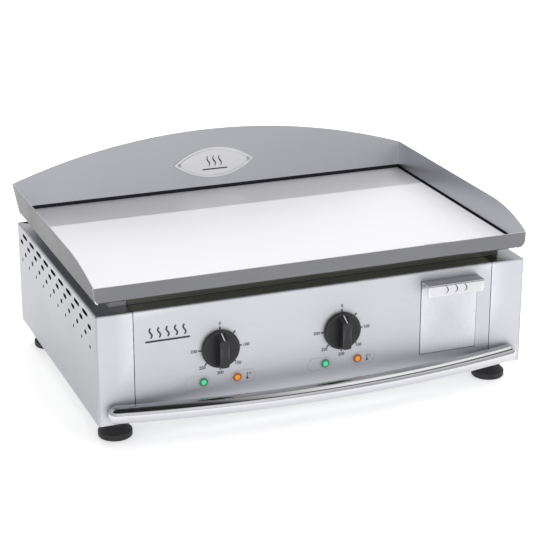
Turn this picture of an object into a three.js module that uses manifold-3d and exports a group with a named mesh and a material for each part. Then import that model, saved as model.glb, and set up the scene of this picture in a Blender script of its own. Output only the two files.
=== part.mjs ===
// Countertop electric griddle: a folded steel body on four levelling feet, a flat plate inside
// splash guards, two heating zones with a thermostat knob each, and a grease drawer.
// Millimetres. X runs left to right, Y from the front to the back, Z up from the worktop.
// Inside the assembly Y = 0 is the body's front face; the outer group then moves the origin to
// the middle of the footprint.

import * as THREE from "three";
import { mergeVertices } from "three/addons/utils/BufferGeometryUtils.js";
import Module from "manifold-3d";

const wasm = await Module();
wasm.setup();

// ---- driving dimensions ------------------------------------------------------------------

const SHEET = 1.5;            // steel sheet thickness
const GAP = 0.3;              // clearance between pieces that touch

const BODY_W = 590;           // body width
const BODY_D = 392;           // body depth
const BODY_Z0 = 28;           // underside of the body above the worktop
const BODY_Z1 = 175.5;        // top ledge of the body
const RETURN_W = 48;          // width of each side panel's return on the front
const PANEL_SEAM = 0.4;       // seam between that return and the front panel
const SIDE_FOLD = 15;         // width of the side panels' fold under the body
const FRONT_FOLD = 20;        // width of the front panel's fold under the body
const LEDGE_W = 26;           // width of the top ledge outside the collar
const COLLAR_TOP = 190.2;     // top of the collar that carries the plate assembly

const PLATE_TOP = 195.3;      // cooking surface
const PLATE_T = 3;            // chromed skin
const CORE_T = 6;             // heat spreading core under the skin
const RIM_TOP = 212.1;        // top of the front rim
const GUARD_TOP = 231;        // top of the side guards
const GUARD_SPLAY = 5.7;      // how far a side guard leans out at its top
const GUARD_CURVE = 100;      // length of the curved run down to the rim
const BACK_Y = 385.3;         // back guard's inner face at the plate
const BACK_LEAN = THREE.MathUtils.degToRad(15);
const BACK_TOP = 278;         // crown of the back guard
const FOOT_FLANGE = 28;       // width of the guards' flange under the plate

const RAIL_R = 11.6;          // front rail
const RAIL_Z = 45.6;
const RAIL_HALF = 273;        // half the distance between the rail's end centres
const RAIL_END_Y = -7;
const RAIL_BOW = 28;

const KNOB_X = [-134.4, 32];  // knob centres: left and right heating zone
const KNOB_Z = 111.2;
const KNOB_R = 25;
const KNOB_H = 19;
const LAMP_DX = 22.6;         // pilot lamps either side of a knob
const LAMP_Z = 68.3;
const LAMP_R = 6.3;

const DRAWER_X0 = 145;        // grease drawer front
const DRAWER_X1 = 226;
const DRAWER_Z0 = 60;
const DRAWER_Z1 = 162.2;
const DRAWER_LEN = 250;
const DRAWER_TRAY_TOP = 140;
const HANDLE_REACH = 20.4;
const HANDLE_DROP = 17;

const DRAIN_X = 185;          // grease slot in the plate, above the drawer
const DRAIN_Y = 38.5;
const DRAIN_W = 34;
const DRAIN_D = 15;
const CHUTE_WALL = 1.5;
const CHUTE_END = 146;        // lower end of the chute

const FOOT_X = 265;
const FOOT_Y = [32, 355];
const FOOT_R = 22;
const STUD_R = 5;
const INSERT_R = 7.5;         // threaded insert through the base

const ZONE_X = [-130, 130];   // middle of each heating zone
const ELEMENT_R = 3.5;
const ELEMENT_Z = 182.2;
const HEAT_HALF = 262;        // half width of the heat spreader and the reflector
const HEAT_Y0 = 56;           // front and back of the heated area
const HEAT_Y1 = 358;
const REFLECTOR_Z = 168;      // underside of the reflector tray
const SHIELD_Z = 148.2;       // underside of the shield pan

const SHAFT_R = 3;            // thermostat shaft
const LAMP_NECK_R = 4.9;      // pilot lamp where it passes the panel
const GLAND_R = 8;            // cord gland where it passes the rear panel

const SIDES = [["left", -1], ["right", 1]];
const RAIL_FRONT = RAIL_END_Y - RAIL_BOW - RAIL_R;
const BACK_END = BACK_Y + (BACK_TOP - PLATE_TOP) * Math.tan(BACK_LEAN) + SHEET * Math.cos(BACK_LEAN);
const CENTRE_Y = (RAIL_FRONT + BACK_END) / 2;

// ---- finishes ----------------------------------------------------------------------------

const finish = (color, roughness, metalness) =>
  new THREE.MeshStandardMaterial({ color, roughness, metalness });
const BRUSHED = finish(0xc4c4c8, 0.35, 1);
const POLISHED = finish(0xdcdce0, 0.12, 1);
const CHROMED = finish(0xececf2, 0.08, 1);
const GALVANISED = finish(0xa8abae, 0.5, 1);
const ALUMINIUM = finish(0xb9bbbd, 0.45, 1);
const ELEMENT_STEEL = finish(0x5a564f, 0.5, 1);
const BRASS = finish(0xb08d4a, 0.35, 1);
const WOOL = finish(0xd9d2bd, 0.95, 0);
const BAKELITE = finish(0x3a3a3f, 0.45, 0);
const RUBBER = finish(0x2a2a2b, 0.7, 0);
const NYLON = finish(0x26272a, 0.5, 0);
const CERAMIC = finish(0xe8e4da, 0.6, 0);
const GREEN_LENS = finish(0x18a866, 0.2, 0);
const ORANGE_LENS = finish(0xf08a1e, 0.2, 0);

// ---- shaping helpers ---------------------------------------------------------------------

const griddle = new THREE.Group();

function add(name, geometry, material, position = [0, 0, 0]) {
  const mesh = new THREE.Mesh(geometry, material);
  mesh.name = name;
  mesh.position.set(...position);
  griddle.add(mesh);
  return mesh;
}

function toManifold(geometry) {
  const bare = geometry.clone();
  bare.deleteAttribute("normal");
  bare.deleteAttribute("uv");
  const merged = mergeVertices(bare, 1e-4);
  return new wasm.Manifold(new wasm.Mesh({
    numProp: 3,
    vertProperties: new Float32Array(merged.attributes.position.array),
    triVerts: new Uint32Array(merged.index.array),
  }));
}

function toGeometry(manifold) {
  const mesh = manifold.getMesh();
  const geometry = new THREE.BufferGeometry();
  geometry.setAttribute("position", new THREE.BufferAttribute(mesh.vertProperties, 3));
  geometry.setIndex(new THREE.BufferAttribute(mesh.triVerts, 1));
  return geometry;
}

const fuse = (...pieces) =>
  toGeometry(pieces.map(toManifold).reduce((whole, piece) => whole.add(piece)));
const cut = (piece, ...tools) =>
  toGeometry(tools.map(toManifold).reduce((rest, tool) => rest.subtract(tool), toManifold(piece)));
const common = (piece, other) => toGeometry(toManifold(piece).intersect(toManifold(other)));

// a box given by its lowest and highest x, y and z
function block(x0, x1, y0, y1, z0, z1) {
  const geometry = new THREE.BoxGeometry(x1 - x0, y1 - y0, z1 - z0);
  return geometry.translate((x0 + x1) / 2, (y0 + y1) / 2, (z0 + z1) / 2);
}

// a block on the left or right: side is -1 or 1, near and far are distances from the middle
function sideBlock(side, near, far, y0, y1, z0, z1) {
  return block(Math.min(side * near, side * far), Math.max(side * near, side * far), y0, y1, z0, z1);
}

// a round bar between two values along one axis, through the other two coordinates
function bar(axis, radius, from, to, a, b, sides = 12) {
  const geometry = new THREE.CylinderGeometry(radius, radius, to - from, sides);
  const middle = (from + to) / 2;
  if (axis === "x") return geometry.rotateZ(Math.PI / 2).translate(middle, a, b);
  if (axis === "y") return geometry.translate(a, middle, b);
  return geometry.rotateX(Math.PI / 2).translate(a, b, middle);
}

// a turned piece on the Z axis from [radius, z] pairs, or on the Y axis facing -Y
const turned = (profile, sides = 20) =>
  new THREE.LatheGeometry(profile.map(([r, z]) => new THREE.Vector2(r, z)), sides).rotateX(Math.PI / 2);
const turnedForward = (profile, sides = 20) =>
  new THREE.LatheGeometry(profile.map(([r, z]) => new THREE.Vector2(r, z)), sides).rotateX(Math.PI);

// an outline in the X-Z plane, given depth from y0 to y1
function frontSlab(shape, y0, y1, curveSegments = 12) {
  const slab = new THREE.ExtrudeGeometry(shape, { depth: y1 - y0, bevelEnabled: false, curveSegments });
  return slab.rotateX(Math.PI / 2).translate(0, y1, 0);
}

// an outline in the Y-Z plane, given width from x0 to x1
function sideSlab(shape, x0, x1, curveSegments = 12) {
  const slab = new THREE.ExtrudeGeometry(shape, { depth: x1 - x0, bevelEnabled: false, curveSegments });
  return slab.rotateY(Math.PI / 2).rotateX(Math.PI / 2).translate(x0, 0, 0);
}

function polygon(points) {
  return new THREE.Shape(points.map(([a, b]) => new THREE.Vector2(a, b)));
}

function tubeAlong(curve, radius, steps, sides) {
  const section = new THREE.Shape();
  for (let i = 0; i < sides; i += 1) {
    const angle = (2 * Math.PI * i) / sides;
    const point = [radius * Math.cos(angle), radius * Math.sin(angle)];
    if (i === 0) section.moveTo(...point);
    else section.lineTo(...point);
  }
  return new THREE.ExtrudeGeometry(section, { steps, extrudePath: curve });
}

// ---- body --------------------------------------------------------------------------------

const HALF = BODY_W / 2;
const COLLAR_HALF = HALF - LEDGE_W + 1;
const COLLAR_BACK = BODY_D - LEDGE_W;
const FLANGE_Z = BODY_Z1 - SHEET;
const VENT_PITCH = 38.2;
const VENT_H = 5.2;
const VENT_ROWS = [            // slot length, height above the body's underside, first slot, count
  [24, 137.4, 46, 9],
  [15, 125.2, 27, 10],
  [9.6, 111.6, 46, 9],
  [5.2, 98.7, 27, 10],
];

// an eight-sided slot cutter through a side wall
function ventCutter(side, length, y, z) {
  const l = length / 2;
  const h = VENT_H / 2;
  const c = h * 0.6;
  const outline = length > VENT_H
    ? [[-l, -h + c], [-l + c, -h], [l - c, -h], [l, -h + c], [l, h - c], [l - c, h], [-l + c, h], [-l, h - c]]
    : [[-l, 0], [-l / 2, -h], [l / 2, -h], [l, 0], [l / 2, h], [-l / 2, h]];
  const shape = polygon(outline.map(([a, b]) => [a + y, b + z]));
  return side < 0 ? sideSlab(shape, -HALF - 1, -HALF + 3) : sideSlab(shape, HALF - 3, HALF + 1);
}

function sidePanel(side) {
  const inner = HALF - RETURN_W + PANEL_SEAM / 2;
  const sheet = fuse(
    sideBlock(side, HALF - SHEET, HALF, 0, BODY_D, BODY_Z0, BODY_Z1),
    sideBlock(side, inner, HALF, 0, SHEET, BODY_Z0, BODY_Z1),
    sideBlock(side, COLLAR_HALF - SHEET, HALF, 0, BODY_D - SHEET - GAP, FLANGE_Z, BODY_Z1),
    sideBlock(side, inner, HALF, 0, LEDGE_W + SHEET, FLANGE_Z, BODY_Z1),
    sideBlock(side, COLLAR_HALF - SHEET, COLLAR_HALF, LEDGE_W, COLLAR_BACK, FLANGE_Z, COLLAR_TOP),
    sideBlock(side, inner, COLLAR_HALF, LEDGE_W, LEDGE_W + SHEET, FLANGE_Z, COLLAR_TOP),
    sideBlock(side, HALF - SIDE_FOLD, HALF, 0, BODY_D - SHEET - GAP, BODY_Z0, BODY_Z0 + SHEET),
  );
  const slots = VENT_ROWS.flatMap(([length, height, first, count]) =>
    Array.from({ length: count }, (_, i) =>
      ventCutter(side, length, first + i * VENT_PITCH, BODY_Z0 + height)));
  return cut(sheet, ...slots);
}

function frontPanel() {
  const half = HALF - RETURN_W - PANEL_SEAM / 2;
  const sheet = fuse(
    block(-half, half, 0, SHEET, BODY_Z0, BODY_Z1),
    block(-half, half, 0, LEDGE_W + SHEET, FLANGE_Z, BODY_Z1),
    block(-half, half, LEDGE_W, LEDGE_W + SHEET, FLANGE_Z, COLLAR_TOP),
    block(-half, half, 0, FRONT_FOLD, BODY_Z0, BODY_Z0 + SHEET),
  );
  const seam = 0.6;
  const opening = block(DRAWER_X0 - seam, DRAWER_X1 + seam, -1, 5, DRAWER_Z0 - seam, DRAWER_Z1 + seam);
  const holes = KNOB_X.flatMap((x) => [
    bar("y", SHAFT_R + 1.6, -1, 5, x, KNOB_Z),
    bar("y", LAMP_NECK_R + 0.4, -1, 5, x - LAMP_DX, LAMP_Z),
    bar("y", LAMP_NECK_R + 0.4, -1, 5, x + LAMP_DX, LAMP_Z),
  ]);
  return cut(sheet, opening, ...holes);
}

const GLAND_X = 215;
const GLAND_Z = 62;
const REAR_BANK_X = 120;       // middle of each bank of slots in the rear panel
const REAR_VENT_PITCH = 14;
const REAR_VENT_W = 5;
const REAR_VENT_Z = [105, 145];
const REAR_VENTS = 8;

function rearPanel() {
  const half = HALF - SHEET - GAP;
  const inner = COLLAR_HALF - SHEET - GAP;
  const sheet = fuse(
    block(-half, half, BODY_D - SHEET, BODY_D, BODY_Z0, BODY_Z1),
    block(-inner, inner, COLLAR_BACK - SHEET, BODY_D, FLANGE_Z, BODY_Z1),
    block(-inner, inner, COLLAR_BACK - SHEET, COLLAR_BACK, FLANGE_Z, COLLAR_TOP),
  );
  const slots = [-REAR_BANK_X, REAR_BANK_X].flatMap((bank) =>
    Array.from({ length: REAR_VENTS }, (_, i) => {
      const x = bank + (i - (REAR_VENTS - 1) / 2) * REAR_VENT_PITCH;
      return block(x - REAR_VENT_W / 2, x + REAR_VENT_W / 2, BODY_D - 5, BODY_D + 1, ...REAR_VENT_Z);
    }));
  return cut(sheet, bar("y", GLAND_R + 0.5, BODY_D - 5, BODY_D + 1, GLAND_X, GLAND_Z), ...slots);
}

const BASE_TOP = BODY_Z0 + 2 * SHEET + GAP;
const BASE_VENT_X = [-150, 0];  // middles of the two banks of slots in the base
const BASE_VENT_Y = [120, 150, 180, 210, 240, 270];
const BASE_VENT_W = 70;
const BASE_VENT_D = 5;

function basePlate() {
  const half = HALF - SHEET - GAP;
  const sheet = block(-half, half, SHEET + GAP, BODY_D - SHEET - GAP, BASE_TOP - SHEET, BASE_TOP);
  const holes = [-FOOT_X, FOOT_X].flatMap((x) => FOOT_Y.map((y) =>
    bar("z", INSERT_R + GAP, BODY_Z0, BASE_TOP + 2, x, y)));
  const slots = BASE_VENT_X.flatMap((x) => BASE_VENT_Y.map((y) =>
    block(x - BASE_VENT_W / 2, x + BASE_VENT_W / 2, y, y + BASE_VENT_D, BODY_Z0, BASE_TOP + 2)));
  return cut(sheet, ...holes, ...slots);
}

// the rail follows a shallow arc in plan, with ball ends let into the front by a flat
function railCentre() {
  const radius = (RAIL_HALF ** 2 + RAIL_BOW ** 2) / (2 * RAIL_BOW);
  const half = Math.asin(RAIL_HALF / radius);
  const middleY = RAIL_END_Y - RAIL_BOW + radius;
  class Arc extends THREE.Curve {
    getPoint(t, target = new THREE.Vector3()) {
      const angle = (2 * t - 1) * half;
      return target.set(radius * Math.sin(angle), middleY - radius * Math.cos(angle), RAIL_Z);
    }
  }
  return new Arc();
}

function frontRail() {
  const ends = [-1, 1].map((side) =>
    new THREE.SphereGeometry(RAIL_R, 12, 8).translate(side * RAIL_HALF, RAIL_END_Y, RAIL_Z));
  const rail = fuse(tubeAlong(railCentre(), RAIL_R, 16, 12), ...ends);
  return cut(rail, block(-320, 320, -GAP, 40, 20, 80));
}

function makeBody() {
  for (const [word, side] of SIDES) add(`${word}_side_panel`, sidePanel(side), BRUSHED);
  add("front_panel", frontPanel(), BRUSHED);
  add("rear_panel", rearPanel(), BRUSHED);
  add("base_plate", basePlate(), GALVANISED);
  add("front_rail", frontRail(), POLISHED);
}

// ---- plate and guards --------------------------------------------------------------------

const FLANGE_LOW = COLLAR_TOP + GAP;         // underside of the guards' flange
const FLANGE_TOP = FLANGE_LOW + SHEET;
const GUARD_BASE = HALF - SHEET;             // outer half width of the side guards at the fold
const FOLD_R = 4;
const CORNER_X = GUARD_BASE - FOLD_R - 0.2;  // the front rim's flange stops here, inside the side guards
const backFaceY = (z) => BACK_Y + (z - PLATE_TOP) * Math.tan(BACK_LEAN);

// folded strip seen end on: a flange, a rounded fold and a wall leaning out by `lean` at `top`
function foldedSection(flange, top, lean) {
  const arc = (radius, from, to) => Array.from({ length: 5 }, (_, i) => {
    const angle = THREE.MathUtils.degToRad(from + ((to - from) * i) / 4);
    return [FOLD_R + radius * Math.cos(angle), FLANGE_LOW + FOLD_R + radius * Math.sin(angle)];
  });
  const outer = arc(FOLD_R, 270, 180);
  const inner = arc(FOLD_R - SHEET, 180, 270);
  return [[flange, FLANGE_LOW], ...outer, [-lean, top], [SHEET - lean, top], ...inner, [flange, FLANGE_TOP]];
}

function frontRim() {
  const strip = sideSlab(polygon(foldedSection(FOOT_FLANGE, RIM_TOP, 0)), -HALF - 5, HALF + 5);
  const half = HALF + 0.5;
  const r = 10;
  const face = new THREE.Shape();
  face.moveTo(-half + r, FLANGE_LOW - 1);
  face.lineTo(half - r, FLANGE_LOW - 1);
  face.quadraticCurveTo(half - 1, FLANGE_LOW - 1, half - 0.8, FLANGE_LOW + r);
  face.lineTo(half, RIM_TOP + 1);
  face.lineTo(-half, RIM_TOP + 1);
  face.lineTo(-half + 0.8, FLANGE_LOW + r);
  face.quadraticCurveTo(-half + 1, FLANGE_LOW - 1, -half + r, FLANGE_LOW - 1);
  const ends = SIDES.map(([, side]) =>
    sideBlock(side, CORNER_X - GAP, HALF + 10, SHEET, FOOT_FLANGE + 2, FLANGE_LOW - 2, RIM_TOP + 2));
  return cut(common(strip, frontSlab(face, -1, FOOT_FLANGE + 1, 6)), ...ends);
}

function sideGuard(side) {
  const points = foldedSection(FOOT_FLANGE, GUARD_TOP, GUARD_SPLAY);
  const section = points.map(([across, z]) => [side * (GUARD_BASE - across), z]);
  const strip = frontSlab(polygon(side < 0 ? section : section.reverse()), -5, BACK_END + 5);
  const start = SHEET + GAP;
  const bottom = FLANGE_LOW - 1;
  const r = (GUARD_CURVE ** 2 + (GUARD_TOP - RIM_TOP) ** 2) / (2 * (GUARD_TOP - RIM_TOP));
  const outline = [[start, bottom], [backFaceY(bottom) - 4, bottom], [backFaceY(GUARD_TOP) - 0.4, GUARD_TOP]];
  for (let i = 0; i <= 10; i += 1) {
    const back = GUARD_CURVE - ((GUARD_CURVE - start) * i) / 10;
    const along = GUARD_CURVE - back;
    outline.push([back, GUARD_TOP - (r - Math.sqrt(r * r - along * along))]);
  }
  const wall = common(strip, sideSlab(polygon(outline), -HALF - 10, HALF + 10));
  const frontCorner = sideBlock(side, 0, CORNER_X, -1, FOOT_FLANGE + GAP, FLANGE_LOW - 2, FLANGE_TOP + 2);
  return cut(wall, frontCorner);
}

// the back guard stands across the ends of the side guards, its top edge one long arc
function backGuard() {
  const height = (z) => (z - PLATE_TOP) / Math.cos(BACK_LEAN);
  const foot = height(FLANGE_LOW + 0.5);
  const shoulder = height(GUARD_TOP);
  const crown = height(BACK_TOP);
  const low = GUARD_BASE - 0.5;
  const wide = GUARD_BASE + GUARD_SPLAY;
  const rise = crown - shoulder;
  const radius = (wide ** 2 + rise ** 2) / (2 * rise);
  const half = Math.asin(wide / radius);
  const points = [[-low, foot], [low, foot]];
  for (let i = 0; i <= 24; i += 1) {
    const angle = half - (2 * half * i) / 24;
    points.push([radius * Math.sin(angle), crown - radius + radius * Math.cos(angle)]);
  }
  const wall = frontSlab(polygon(points), 0, SHEET).rotateX(-BACK_LEAN).translate(0, BACK_Y, PLATE_TOP);
  const inner = GUARD_BASE - FOOT_FLANGE - GAP;
  const flange = block(-inner, inner, COLLAR_BACK - 8, BACK_Y - 0.3, FLANGE_LOW, FLANGE_TOP);
  return fuse(wall, flange);
}

// an upright block as wide as the grease slot plus an edge all round
function drainBlock(edge, z0, z1) {
  const [w, d] = [DRAIN_W / 2 + edge, DRAIN_D / 2 + edge];
  return block(DRAIN_X - w, DRAIN_X + w, DRAIN_Y - d, DRAIN_Y + d, z0, z1);
}

function makePlate() {
  const skinHalf = GUARD_BASE - 4.5;
  const skin = block(-skinHalf, skinHalf, 5, BACK_Y - 4, PLATE_TOP - PLATE_T, PLATE_TOP);
  add("griddle_plate", cut(skin, drainBlock(0, PLATE_TOP - PLATE_T - 1, PLATE_TOP + 1)), CHROMED);
  const coreTop = PLATE_TOP - PLATE_T - GAP;
  const core = block(-HEAT_HALF, HEAT_HALF, HEAT_Y0, HEAT_Y1 - 2, coreTop - CORE_T, coreTop);
  add("heat_spreader", core, ALUMINIUM);
  add("front_rim", frontRim(), BRUSHED);
  for (const [word, side] of SIDES) add(`${word}_splash_guard`, sideGuard(side), BRUSHED);
  add("back_splash_guard", backGuard(), BRUSHED);
  const wall = drainBlock(CHUTE_WALL, CHUTE_END, coreTop);
  add("drain_chute", cut(wall, drainBlock(0, CHUTE_END - 1, coreTop + 1)), BRUSHED);
}

// lens-shaped plate on the back guard, held by two small screws
const BADGE_HALF = 61.5;
const BADGE_RISE = 22;
const BADGE_UP = 37;
const BADGE_T = 1;
const BADGE_SCREW_X = 52.8;

function onBackGuard(geometry) {
  return geometry.rotateX(-BACK_LEAN).translate(0, BACK_Y, PLATE_TOP);
}

function makeBadge() {
  const radius = (BADGE_HALF ** 2 + BADGE_RISE ** 2) / (2 * BADGE_RISE);
  const half = Math.asin(BADGE_HALF / radius);
  const points = [];
  for (let i = 0; i <= 12; i += 1) {
    const angle = half - (2 * half * i) / 12;
    points.push([radius * Math.sin(angle), BADGE_UP + BADGE_RISE - radius + radius * Math.cos(angle)]);
  }
  const lower = points.slice(1, -1).map(([x, z]) => [-x, 2 * BADGE_UP - z]);
  const holes = [-1, 1].map((side) => bar("y", 1.5, -6, 3, side * BADGE_SCREW_X, BADGE_UP, 8));
  const lens = cut(frontSlab(polygon([...points, ...lower]), -GAP - BADGE_T, -GAP), ...holes);
  add("nameplate", onBackGuard(lens), POLISHED);
  for (const [word, side] of SIDES) {
    const screw = turnedForward([[0, GAP], [1.2, GAP], [1.2, 1.6], [2.6, 1.6], [2.2, 2.5], [0, 2.9]], 10);
    add(`nameplate_screw_${word}`, onBackGuard(screw.translate(side * BADGE_SCREW_X, 0, BADGE_UP)), POLISHED);
  }
}

// ---- heating -----------------------------------------------------------------------------

const RUN_Y = [90, 170, 250, 330];

// four straight runs joined by three half-circle bends
function elementPath(side) {
  const path = new THREE.CurvePath();
  const near = side * 55;
  const far = side * 205;
  const v = (x, y) => new THREE.Vector3(x, y, ELEMENT_Z);
  RUN_Y.forEach((y, i) => {
    const [from, to] = i % 2 ? [far, near] : [near, far];
    path.add(new THREE.LineCurve3(v(from, y), v(to, y)));
    if (i === RUN_Y.length - 1) return;
    const r = (RUN_Y[i + 1] - y) / 2;
    const out = Math.sign(to - from);
    class Bend extends THREE.Curve {
      getPoint(t, target = new THREE.Vector3()) {
        const angle = Math.PI * t;
        return target.set(to + out * r * Math.sin(angle), y + r - r * Math.cos(angle), ELEMENT_Z);
      }
    }
    path.add(new Bend());
  });
  return path;
}

// from the bulb, under the first element run, over the reflector's front wall and down to the knob
function capillaryPath(x, inward, knobX) {
  const aside = [
    [45.5, 130, 182], [54, 122, 179], [58, 108, 176.4], [58, 72, 176.4], [56, 57, 181.5], [48, 45, 172],
  ].map(([across, y, z]) => [x + inward * across, y, z]);
  const down = [[knobX + 12, 38, 152], [knobX + 3, 30, 143], [knobX, 26, KNOB_Z + 24.4]];
  return new THREE.CatmullRomCurve3([...aside, ...down].map((p) => new THREE.Vector3(...p)));
}

function makeHeating() {
  SIDES.forEach(([word, side], i) => {
    const x = ZONE_X[i];
    add(`heating_element_${word}`, tubeAlong(elementPath(side), ELEMENT_R, 54, 6), ELEMENT_STEEL);
    add(`element_clamp_${word}`, block(x - 8, x + 8, 72, 348, 175.4, 178.4), GALVANISED);
    const capillary = tubeAlong(capillaryPath(x, -side, KNOB_X[i]), 1, 30, 6);
    const bulb = fuse(bar("x", 3, x - 46, x + 46, 130, 182, 8), capillary);
    add(`thermostat_bulb_${word}`, bulb, BRASS);
  });
  const tray = (half, y0, y1, z0, z1) => block(-half, half, y0, y1, z0, z1);
  const reflector = cut(
    tray(HEAT_HALF, HEAT_Y0, HEAT_Y1, REFLECTOR_Z, 179),
    tray(HEAT_HALF - SHEET, HEAT_Y0 + SHEET, HEAT_Y1 - SHEET, REFLECTOR_Z + SHEET, 181),
  );
  add("heat_reflector", reflector, ALUMINIUM);
  const wool = tray(HEAT_HALF - 4, HEAT_Y0 + 4, HEAT_Y1 - 4, SHIELD_Z + SHEET + GAP, REFLECTOR_Z - GAP);
  add("insulation_blanket", wool, WOOL);
  const shield = cut(
    tray(HEAT_HALF + 4, HEAT_Y0 - 1, HEAT_Y1 + 4, SHIELD_Z, 184),
    tray(HEAT_HALF + 4 - SHEET, HEAT_Y0 - 3, HEAT_Y1 + 4 - SHEET, SHIELD_Z + SHEET, 186),
  );
  add("heat_shield", shield, GALVANISED);
}

// a square housing on a fixing strap behind the panel, with two terminals at the back
function thermostatBody(x) {
  const [housing, strap] = [23, 30];
  const [front, back] = [6, 36];
  const shell = fuse(
    block(x - housing, x + housing, front, back, KNOB_Z - housing, KNOB_Z + housing),
    block(x - strap, x + strap, SHEET + GAP, front, KNOB_Z - 12, KNOB_Z + 12),
    ...[-14, 14].map((dx) => block(x + dx - 2, x + dx + 2, back, back + 6, KNOB_Z - 10, KNOB_Z - 2)),
  );
  return cut(shell, bar("y", SHAFT_R + 0.4, 0, 16, x, KNOB_Z));
}

function makeControls() {
  SIDES.forEach(([word], i) => {
    const x = KNOB_X[i];
    add(`thermostat_${word}`, thermostatBody(x), BAKELITE);
    add(`knob_shaft_${word}`, bar("y", SHAFT_R, -13, 14, x, KNOB_Z), POLISHED);
    add(`knob_${word}`, knob(), BAKELITE, [x, 0, KNOB_Z]);
    const lamps = [["power", -1, GREEN_LENS], ["heat", 1, ORANGE_LENS]];
    for (const [use, step, lens] of lamps) {
      const spot = [x + step * LAMP_DX, 0, LAMP_Z];
      add(`${use}_lamp_lens_${word}`, lampLens(), lens, spot);
      add(`${use}_lamp_body_${word}`, lampBody(), NYLON, spot);
    }
  });
}

// a skirt with a tapered bar across it, bored from behind for the shaft
function knob() {
  const skirt = turnedForward([[0, 0.6], [KNOB_R, 0.6], [KNOB_R, 4.5], [KNOB_R - 1.5, 6], [0, 6]], 28);
  const cone = turnedForward([[0, 1], [KNOB_R - 0.5, 1], [KNOB_R - 4.6, KNOB_H], [0, KNOB_H]], 28);
  const grip = common(cone, block(-6.5, 6.5, -KNOB_H - 1, 0, -30, 30));
  return cut(fuse(skirt, grip), bar("y", SHAFT_R + GAP, -14, 2, 0, 0));
}

function lampLens() {
  return turnedForward([
    [0, -2], [LAMP_NECK_R, -2], [LAMP_NECK_R, GAP], [LAMP_R, GAP], [LAMP_R, 1.4], [LAMP_R - 1.2, 2.2],
    [LAMP_R - 3.2, 3.2], [0, 3.6],
  ], 14);
}

function lampBody() {
  return turnedForward([[0, -28], [6, -28], [6, -9], [7.5, -9], [7.5, -2.3], [0, -2.3]], 12);
}

const TERMINAL_X = 178;        // middle of the three-pole terminal block
const TERMINAL_Y = 341;
const POLE_PITCH = 18;

function makeSupply() {
  const base = block(-28, 28, -11, 11, 0, 8);
  const poles = [-POLE_PITCH, 0, POLE_PITCH].map((x) => block(x - 7, x + 7, -8, 8, 5, 20));
  const terminals = fuse(base, ...poles).translate(TERMINAL_X, TERMINAL_Y, BASE_TOP + GAP);
  add("terminal_block", terminals, CERAMIC);
  const body = fuse(
    bar("y", GLAND_R, BODY_D - 14, BODY_D + 8, 0, 0, 14),
    bar("y", 12, BODY_D + GAP, BODY_D + 5, 0, 0, 6),
  );
  add("gland_body", cut(body, bar("y", 5, BODY_D - 20, BODY_D + 12, 0, 0, 10)), NYLON, [GLAND_X, 0, GLAND_Z]);
  const nut = cut(
    bar("y", 11.5, BODY_D + 5.3, BODY_D + 14, 0, 0, 6),
    bar("y", GLAND_R + GAP, BODY_D + 4, BODY_D + 8 + GAP, 0, 0, 14),
    bar("y", 4.6, BODY_D + 2, BODY_D + 16, 0, 0, 10),
  );
  add("gland_nut", nut, NYLON, [GLAND_X, 0, GLAND_Z]);
}

// ---- grease drawer -----------------------------------------------------------------------

function drawerHandle() {
  const x0 = DRAWER_X0 - 0.5;
  const x1 = DRAWER_X1 - 0.5;
  const top = DRAWER_Z1;
  const strip = fuse(
    block(x0, x1, -HANDLE_REACH, -GAP, top - SHEET, top),
    block(x0, x1, -HANDLE_REACH, -HANDLE_REACH + SHEET, top - HANDLE_DROP, top),
    block(x0, x1, -GAP - SHEET, -GAP, top - 11, top),
  );
  const r = 6;
  const face = new THREE.Shape();
  face.moveTo(x0 + r, top - HANDLE_DROP);
  face.lineTo(x1 - r, top - HANDLE_DROP);
  face.quadraticCurveTo(x1, top - HANDLE_DROP, x1, top - HANDLE_DROP + r);
  face.lineTo(x1, top + 1);
  face.lineTo(x0, top + 1);
  face.lineTo(x0, top - HANDLE_DROP + r);
  face.quadraticCurveTo(x0, top - HANDLE_DROP, x0 + r, top - HANDLE_DROP);
  return common(strip, frontSlab(face, -HANDLE_REACH - 1, 1, 4));
}

// an upright web beside the tray, with a ledge under the tray and a foot on the base
function drawerGuide(middle, side) {
  const web = DRAWER_X1 - middle + 2;
  const [front, back] = [4, DRAWER_LEN + 12];
  const foot = BASE_TOP + GAP;
  const ledge = DRAWER_Z0 - 0.7;
  const strip = fuse(
    sideBlock(side, web, web + SHEET, front, back, foot, 76),
    sideBlock(side, web - 9, web + SHEET, front, back, ledge - SHEET, ledge),
    sideBlock(side, web, web + 12, front, back, foot, foot + SHEET),
  );
  return strip.translate(middle, 0, 0);
}

function makeDrawer() {
  const middle = (DRAWER_X0 + DRAWER_X1) / 2;
  add("drawer_front", block(DRAWER_X0, DRAWER_X1, 0, SHEET, DRAWER_Z0, DRAWER_Z1), BRUSHED);
  const wall = 1.2;
  const [x0, x1] = [DRAWER_X0 + 2, DRAWER_X1 - 2];
  const [z0, z1] = [DRAWER_Z0 - 0.4, DRAWER_TRAY_TOP];
  const y0 = SHEET + GAP;
  const tray = cut(
    block(x0, x1, y0, DRAWER_LEN, z0, z1),
    block(x0 + wall, x1 - wall, y0 + wall, DRAWER_LEN - wall, z0 + wall, z1 + 1),
  );
  add("drawer_tray", tray, BRUSHED);
  add("drawer_handle", drawerHandle(), POLISHED);
  for (const [word, side] of SIDES) add(`drawer_guide_${word}`, drawerGuide(middle, side), GALVANISED);
}

// ---- feet --------------------------------------------------------------------------------

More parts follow.
